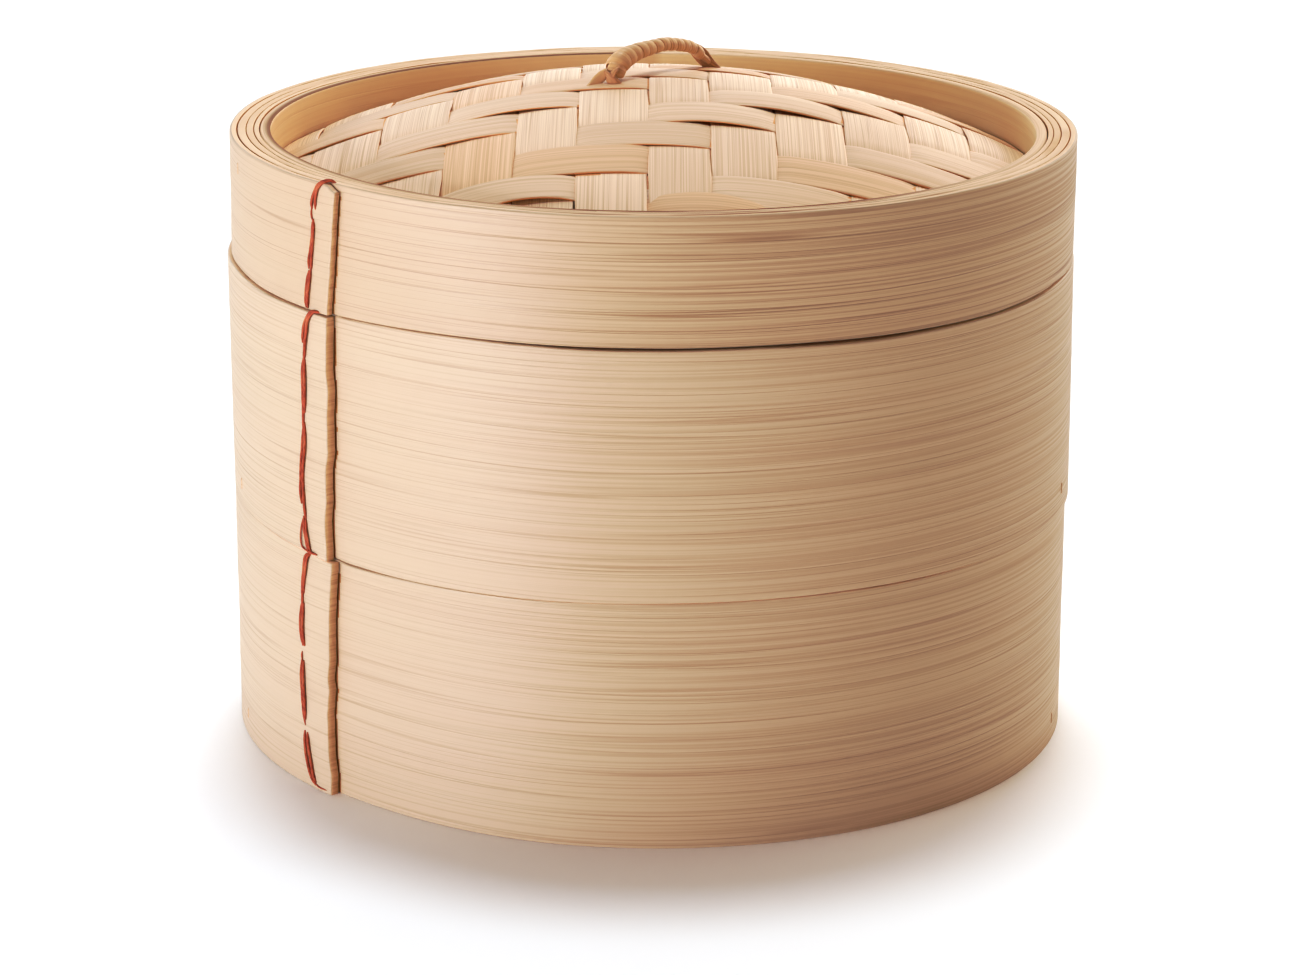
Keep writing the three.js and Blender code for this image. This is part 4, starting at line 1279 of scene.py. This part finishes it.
STRANDS["upper_tier"] = [
    ([(57.0, -48.2, -0.9), (56.9, -49.2, 0.1), (54.4, -50.3, 0.35), (51.7, -50.8, 0.35),
      (49.2, -51.2, 0.0)], 0.66),
    ([(57.0, -47.8, -0.9), (57.0, -48.7, 0.1), (54.9, -49.7, 0.4), (52.0, -50.1, 0.4), (48.9, -50.5, 0.35),
      (45.2, -50.9, 0.1)], 0.66),
    ([(45.8, -51.0, 0.1), (42.4, -51.25, 0.3), (39.4, -51.2, 0.35), (36.3, -51.25, 0.3),
      (32.6, -51.35, 0.15), (29.0, -51.4, 0.2)], 0.58),
    ([(45.4, -50.8, 0.1), (42.4, -50.75, 0.35), (39.4, -50.75, 0.35), (36.3, -50.85, 0.3),
      (32.8, -51.1, 0.1)], 0.6),
    ([(30.6, -51.2, 0.1), (26.4, -51.0, 0.35), (23.5, -51.2, 0.35), (20.5, -51.55, 0.3), (17.2, -51.8, 0.2),
      (13.9, -51.7, 0.25), (10.9, -51.55, 0.3), (7.7, -51.4, 0.1)], 0.6),
    ([(29.8, -51.4, 0.1), (26.4, -51.5, 0.35), (23.5, -51.75, 0.35), (20.0, -52.1, 0.3), (17.1, -52.2, 0.3),
      (14.1, -52.35, 0.3), (10.9, -52.35, 0.0)], 0.58),
    ([(8.2, -51.8, 0.1), (5.1, -52.4, 0.25), (2.6, -52.6, 0.25), (0.8, -52.3, 0.25),
      (0.1, -51.4, 0.2)], 0.36),
    ([(8.2, -51.8, 0.1), (5.4, -51.6, 0.35), (3.2, -51.25, 0.4), (1.4, -50.95, 0.35),
      (0.0, -50.75, 0.2)], 0.68),
    ([(7.6, -51.4, 0.1), (5.2, -51.2, 0.3), (3.0, -50.9, 0.35), (1.2, -50.6, 0.3), (0.2, -50.4, 0.1)], 0.5),
    ([(0.5, -51.3, 0.3), (0.2, -50.9, 0.4), (0.1, -50.0, 0.3), (0.0, -49.1, 0.1)], 0.5),
]
STRANDS["lower_tier"] = [
    ([(57.2, -50.9, -0.6), (56.4, -51.5, 0.3), (54.7, -51.85, 0.35), (52.2, -52.1, 0.35), (49.7, -52.4, 0.3),
      (46.6, -52.6, 0.15), (43.6, -52.6, 0.2)], 0.58),
    ([(57.2, -50.6, -0.6), (56.4, -51.0, 0.3), (54.7, -51.4, 0.35), (52.2, -51.7, 0.35), (49.7, -52.1, 0.25),
      (46.8, -52.4, 0.0)], 0.58),
    ([(44.8, -52.7, 0.1), (41.2, -53.0, 0.35), (37.8, -53.05, 0.35), (34.0, -52.85, 0.0)], 0.6),
    ([(44.6, -52.4, 0.1), (41.2, -52.5, 0.35), (37.8, -52.6, 0.35), (34.1, -52.45, 0.0)], 0.6),
    ([(32.5, -53.15, -0.1), (31.7, -53.1, 0.1), (30.3, -53.05, 0.1)], 0.4),
    ([(30.6, -53.15, 0.0), (26.8, -53.2, 0.35), (23.2, -53.05, 0.35), (19.6, -52.95, 0.3),
      (15.4, -52.85, 0.0)], 0.58),
    ([(30.4, -52.8, 0.0), (26.8, -52.7, 0.35), (23.2, -52.6, 0.35), (19.6, -52.5, 0.3),
      (16.0, -52.6, 0.1)], 0.6),
    ([(16.4, -52.75, 0.2), (14.6, -52.7, 0.0)], 0.36),
    ([(13.3, -52.8, 0.0), (10.3, -52.65, 0.3), (7.3, -52.35, 0.35), (4.6, -51.8, 0.35), (2.5, -51.2, 0.3),
      (1.0, -50.4, 0.1)], 0.62),
    ([(13.1, -52.2, 0.0), (10.9, -51.9, 0.35), (8.6, -51.65, 0.35), (6.3, -51.3, 0.3), (3.6, -50.9, 0.3),
      (1.6, -50.4, 0.1)], 0.6),
    ([(1.4, -50.5, 0.2), (0.9, -49.6, 0.2), (0.8, -48.1, 0.0)], 0.3),
]


def stitch(body, base, seed):
    cords = []
    for n, (points, width) in enumerate(STRANDS[body]):
        z, angle, out = np.array(points).T
        radius = OUTER_RADIUS + swell(body, angle, z) + out
        line = curve_points(polar(radius, angle, base + z), 12 + 4 * len(points))
        length = np.linalg.norm(np.diff(line, axis=0), axis=1).sum()
        reach = np.linspace(0, length, len(line))
        end = smooth(reach / 1.4) * smooth((length - reach) / 1.4)
        uneven = 1 + 0.08 * Waves(seed * 20 + n, 3.5, 3)(reach)
        thickness = CORD_SCALE * width / 2 * (0.6 + 0.4 * end) * uneven
        cords.append(tube(f"{body}_strand_{n}", line, thickness, 10, [materials["cord"]]))
    cord = join(f"{body}_stitch_skin", cords)
    finish_piece(cord, body, "cord", f"{body}_stitch")


# Camera, light and floor
def camera():
    data = bpy.data.cameras.new("camera")
    data.lens = LENS
    data.sensor_width = SENSOR
    obj = bpy.data.objects.new("camera", data)
    bpy.context.scene.collection.objects.link(obj)
    pitch = math.radians(CAMERA_PITCH)
    back = Vector((0, -math.cos(pitch), math.sin(pitch)))
    obj.matrix_world = (
        Matrix.Translation(place((CAMERA_SIDE, 0, CAMERA_AIM)) + np.array(back) * CAMERA_DISTANCE * MM)
        @ Matrix.Rotation(math.radians(90) - pitch, 4, "X")
        @ Matrix.Rotation(CAMERA_ROLL, 4, "Z"))
    bpy.context.scene.camera = obj


def light(name, kind, azimuth, elevation, power, color, distance=0.0, **sizes):
    """A light that looks at the object. Azimuth is from the front, positive towards the right."""
    data = bpy.data.lights.new(name, kind)
    data.energy = power
    data.color = color
    for size, value in sizes.items():
        setattr(data, size, value)
    obj = bpy.data.objects.new(name, data)
    bpy.context.scene.collection.objects.link(obj)
    a, e = math.radians(azimuth), math.radians(elevation)
    away = Vector((math.sin(a) * math.cos(e), -math.cos(a) * math.cos(e), math.sin(e)))
    obj.location = Vector((0, 0, LIGHT_AIM * MM)) + away * distance
    obj.rotation_mode = "QUATERNION"
    obj.rotation_quaternion = away.to_track_quat("Z", "Y")


def sky(lobes):
    """World light from chosen directions. Each lobe has one, where it starts and is full, and a colour."""
    world = bpy.data.worlds.new("studio")
    bpy.context.scene.world = world
    world.use_nodes = True
    tree = world.node_tree
    where = tree.nodes.new("ShaderNodeTexCoord")
    total = None
    for direction, first, full, color in lobes:
        facing = tree.nodes.new("ShaderNodeVectorMath")
        facing.operation = "DOT_PRODUCT"
        facing.inputs[1].default_value = direction
        tree.links.new(where.outputs["Generated"], facing.inputs[0])
        ramp = tree.nodes.new("ShaderNodeMapRange")
        ramp.interpolation_type = "SMOOTHSTEP"
        ramp.inputs["From Min"].default_value = first
        ramp.inputs["From Max"].default_value = full
        tree.links.new(facing.outputs["Value"], ramp.inputs["Value"])
        tinted = tree.nodes.new("ShaderNodeVectorMath")
        tinted.operation = "SCALE"
        tinted.inputs[0].default_value = color
        tree.links.new(ramp.outputs["Result"], tinted.inputs["Scale"])
        if total is None:
            total = tinted.outputs["Vector"]
        else:
            summed = tree.nodes.new("ShaderNodeVectorMath")
            tree.links.new(total, summed.inputs[0])
            tree.links.new(tinted.outputs["Vector"], summed.inputs[1])
            total = summed.outputs["Vector"]
    tree.links.new(total, tree.nodes["Background"].inputs["Color"])


def film_curve(settings):
    """A photographic response: darker, richer shadows, highlights nearly as they are."""
    settings.view_transform = "Standard"
    settings.look = "None"
    settings.use_curve_mapping = True
    mapping = settings.curve_mapping
    mapping.use_clip = False
    mapping.extend = "EXTRAPOLATED"
    curve = mapping.curves[3]
    for at, value in ((0.1, 0.061), (0.2, 0.127), (0.32, 0.25), (0.46, 0.42), (0.62, 0.59), (0.8, 0.79)):
        curve.points.new(at, value)
    mapping.update()


def studio():
    film_curve(bpy.context.scene.view_settings)
    sky([
        ((0, 1, 0), 0.0, 0.9, (1.5, 1.54, 1.65)),
        ((0.77, 0.64, 0), 0.5, 0.95, (2.1, 1.9, 1.65)),
        ((0, -1, 0), 0.2, 0.95, (0.58, 0.34, 0.18)),
    ])
    light("back_light", "SUN", 180, 75.5, 1.9, (0.72, 0.86, 1), angle=math.radians(13))
    box = {"shape": "RECTANGLE", "size": 0.6, "size_y": 0.3}
    light("low_key", "AREA", -46, 4, 14.5, (0.7, 0.8, 1), 1.4, **box)
    light("side_key", "AREA", -65, 4, 6.2, (0.64, 0.78, 1), 1.4, **box)
    light("tall_key", "AREA", -45, 16, 1.6, (1, 0.85, 0.7), 1.5, **{**box, "size_y": 0.85})
    floor()


def floor():
    shader = Shader("floor", 0.6, 0.2)
    shader.color((1.0, 0.98, 0.94, 1))
    ends = (-FLOOR_REACH, FLOOR_REACH)
    middle = np.array([[[x, y, -1.0] for y in ends] for x in ends])
    normal = np.zeros_like(middle)
    normal[..., 2] = 1
    uv = middle[..., :2]
    ground = plate("floor", middle, normal, np.ones((2, 2)), uv, [shader.material])


camera()
studio()

for number, name in enumerate(("lower_tier", "upper_tier")):
    base = number * TIER_HEIGHT
    coiled_wall(name, base, 50 + 20 * number, 1.1)
    tier_hoops(name, base, 5 + 4 * number)
    tier_floor(name, base, 7 + number)
    stitch(name, base, number)

coiled_wall("lid", LID_BASE, 91, 0.9)
stitch("lid", LID_BASE, 2)
lid_rings()
lining()
for index, number in enumerate(WARPS):
    weave_strip("warp", number, index + 1)
for index, number in enumerate(WEFTS):
    weave_strip("weft", number, index + 1)
handle()
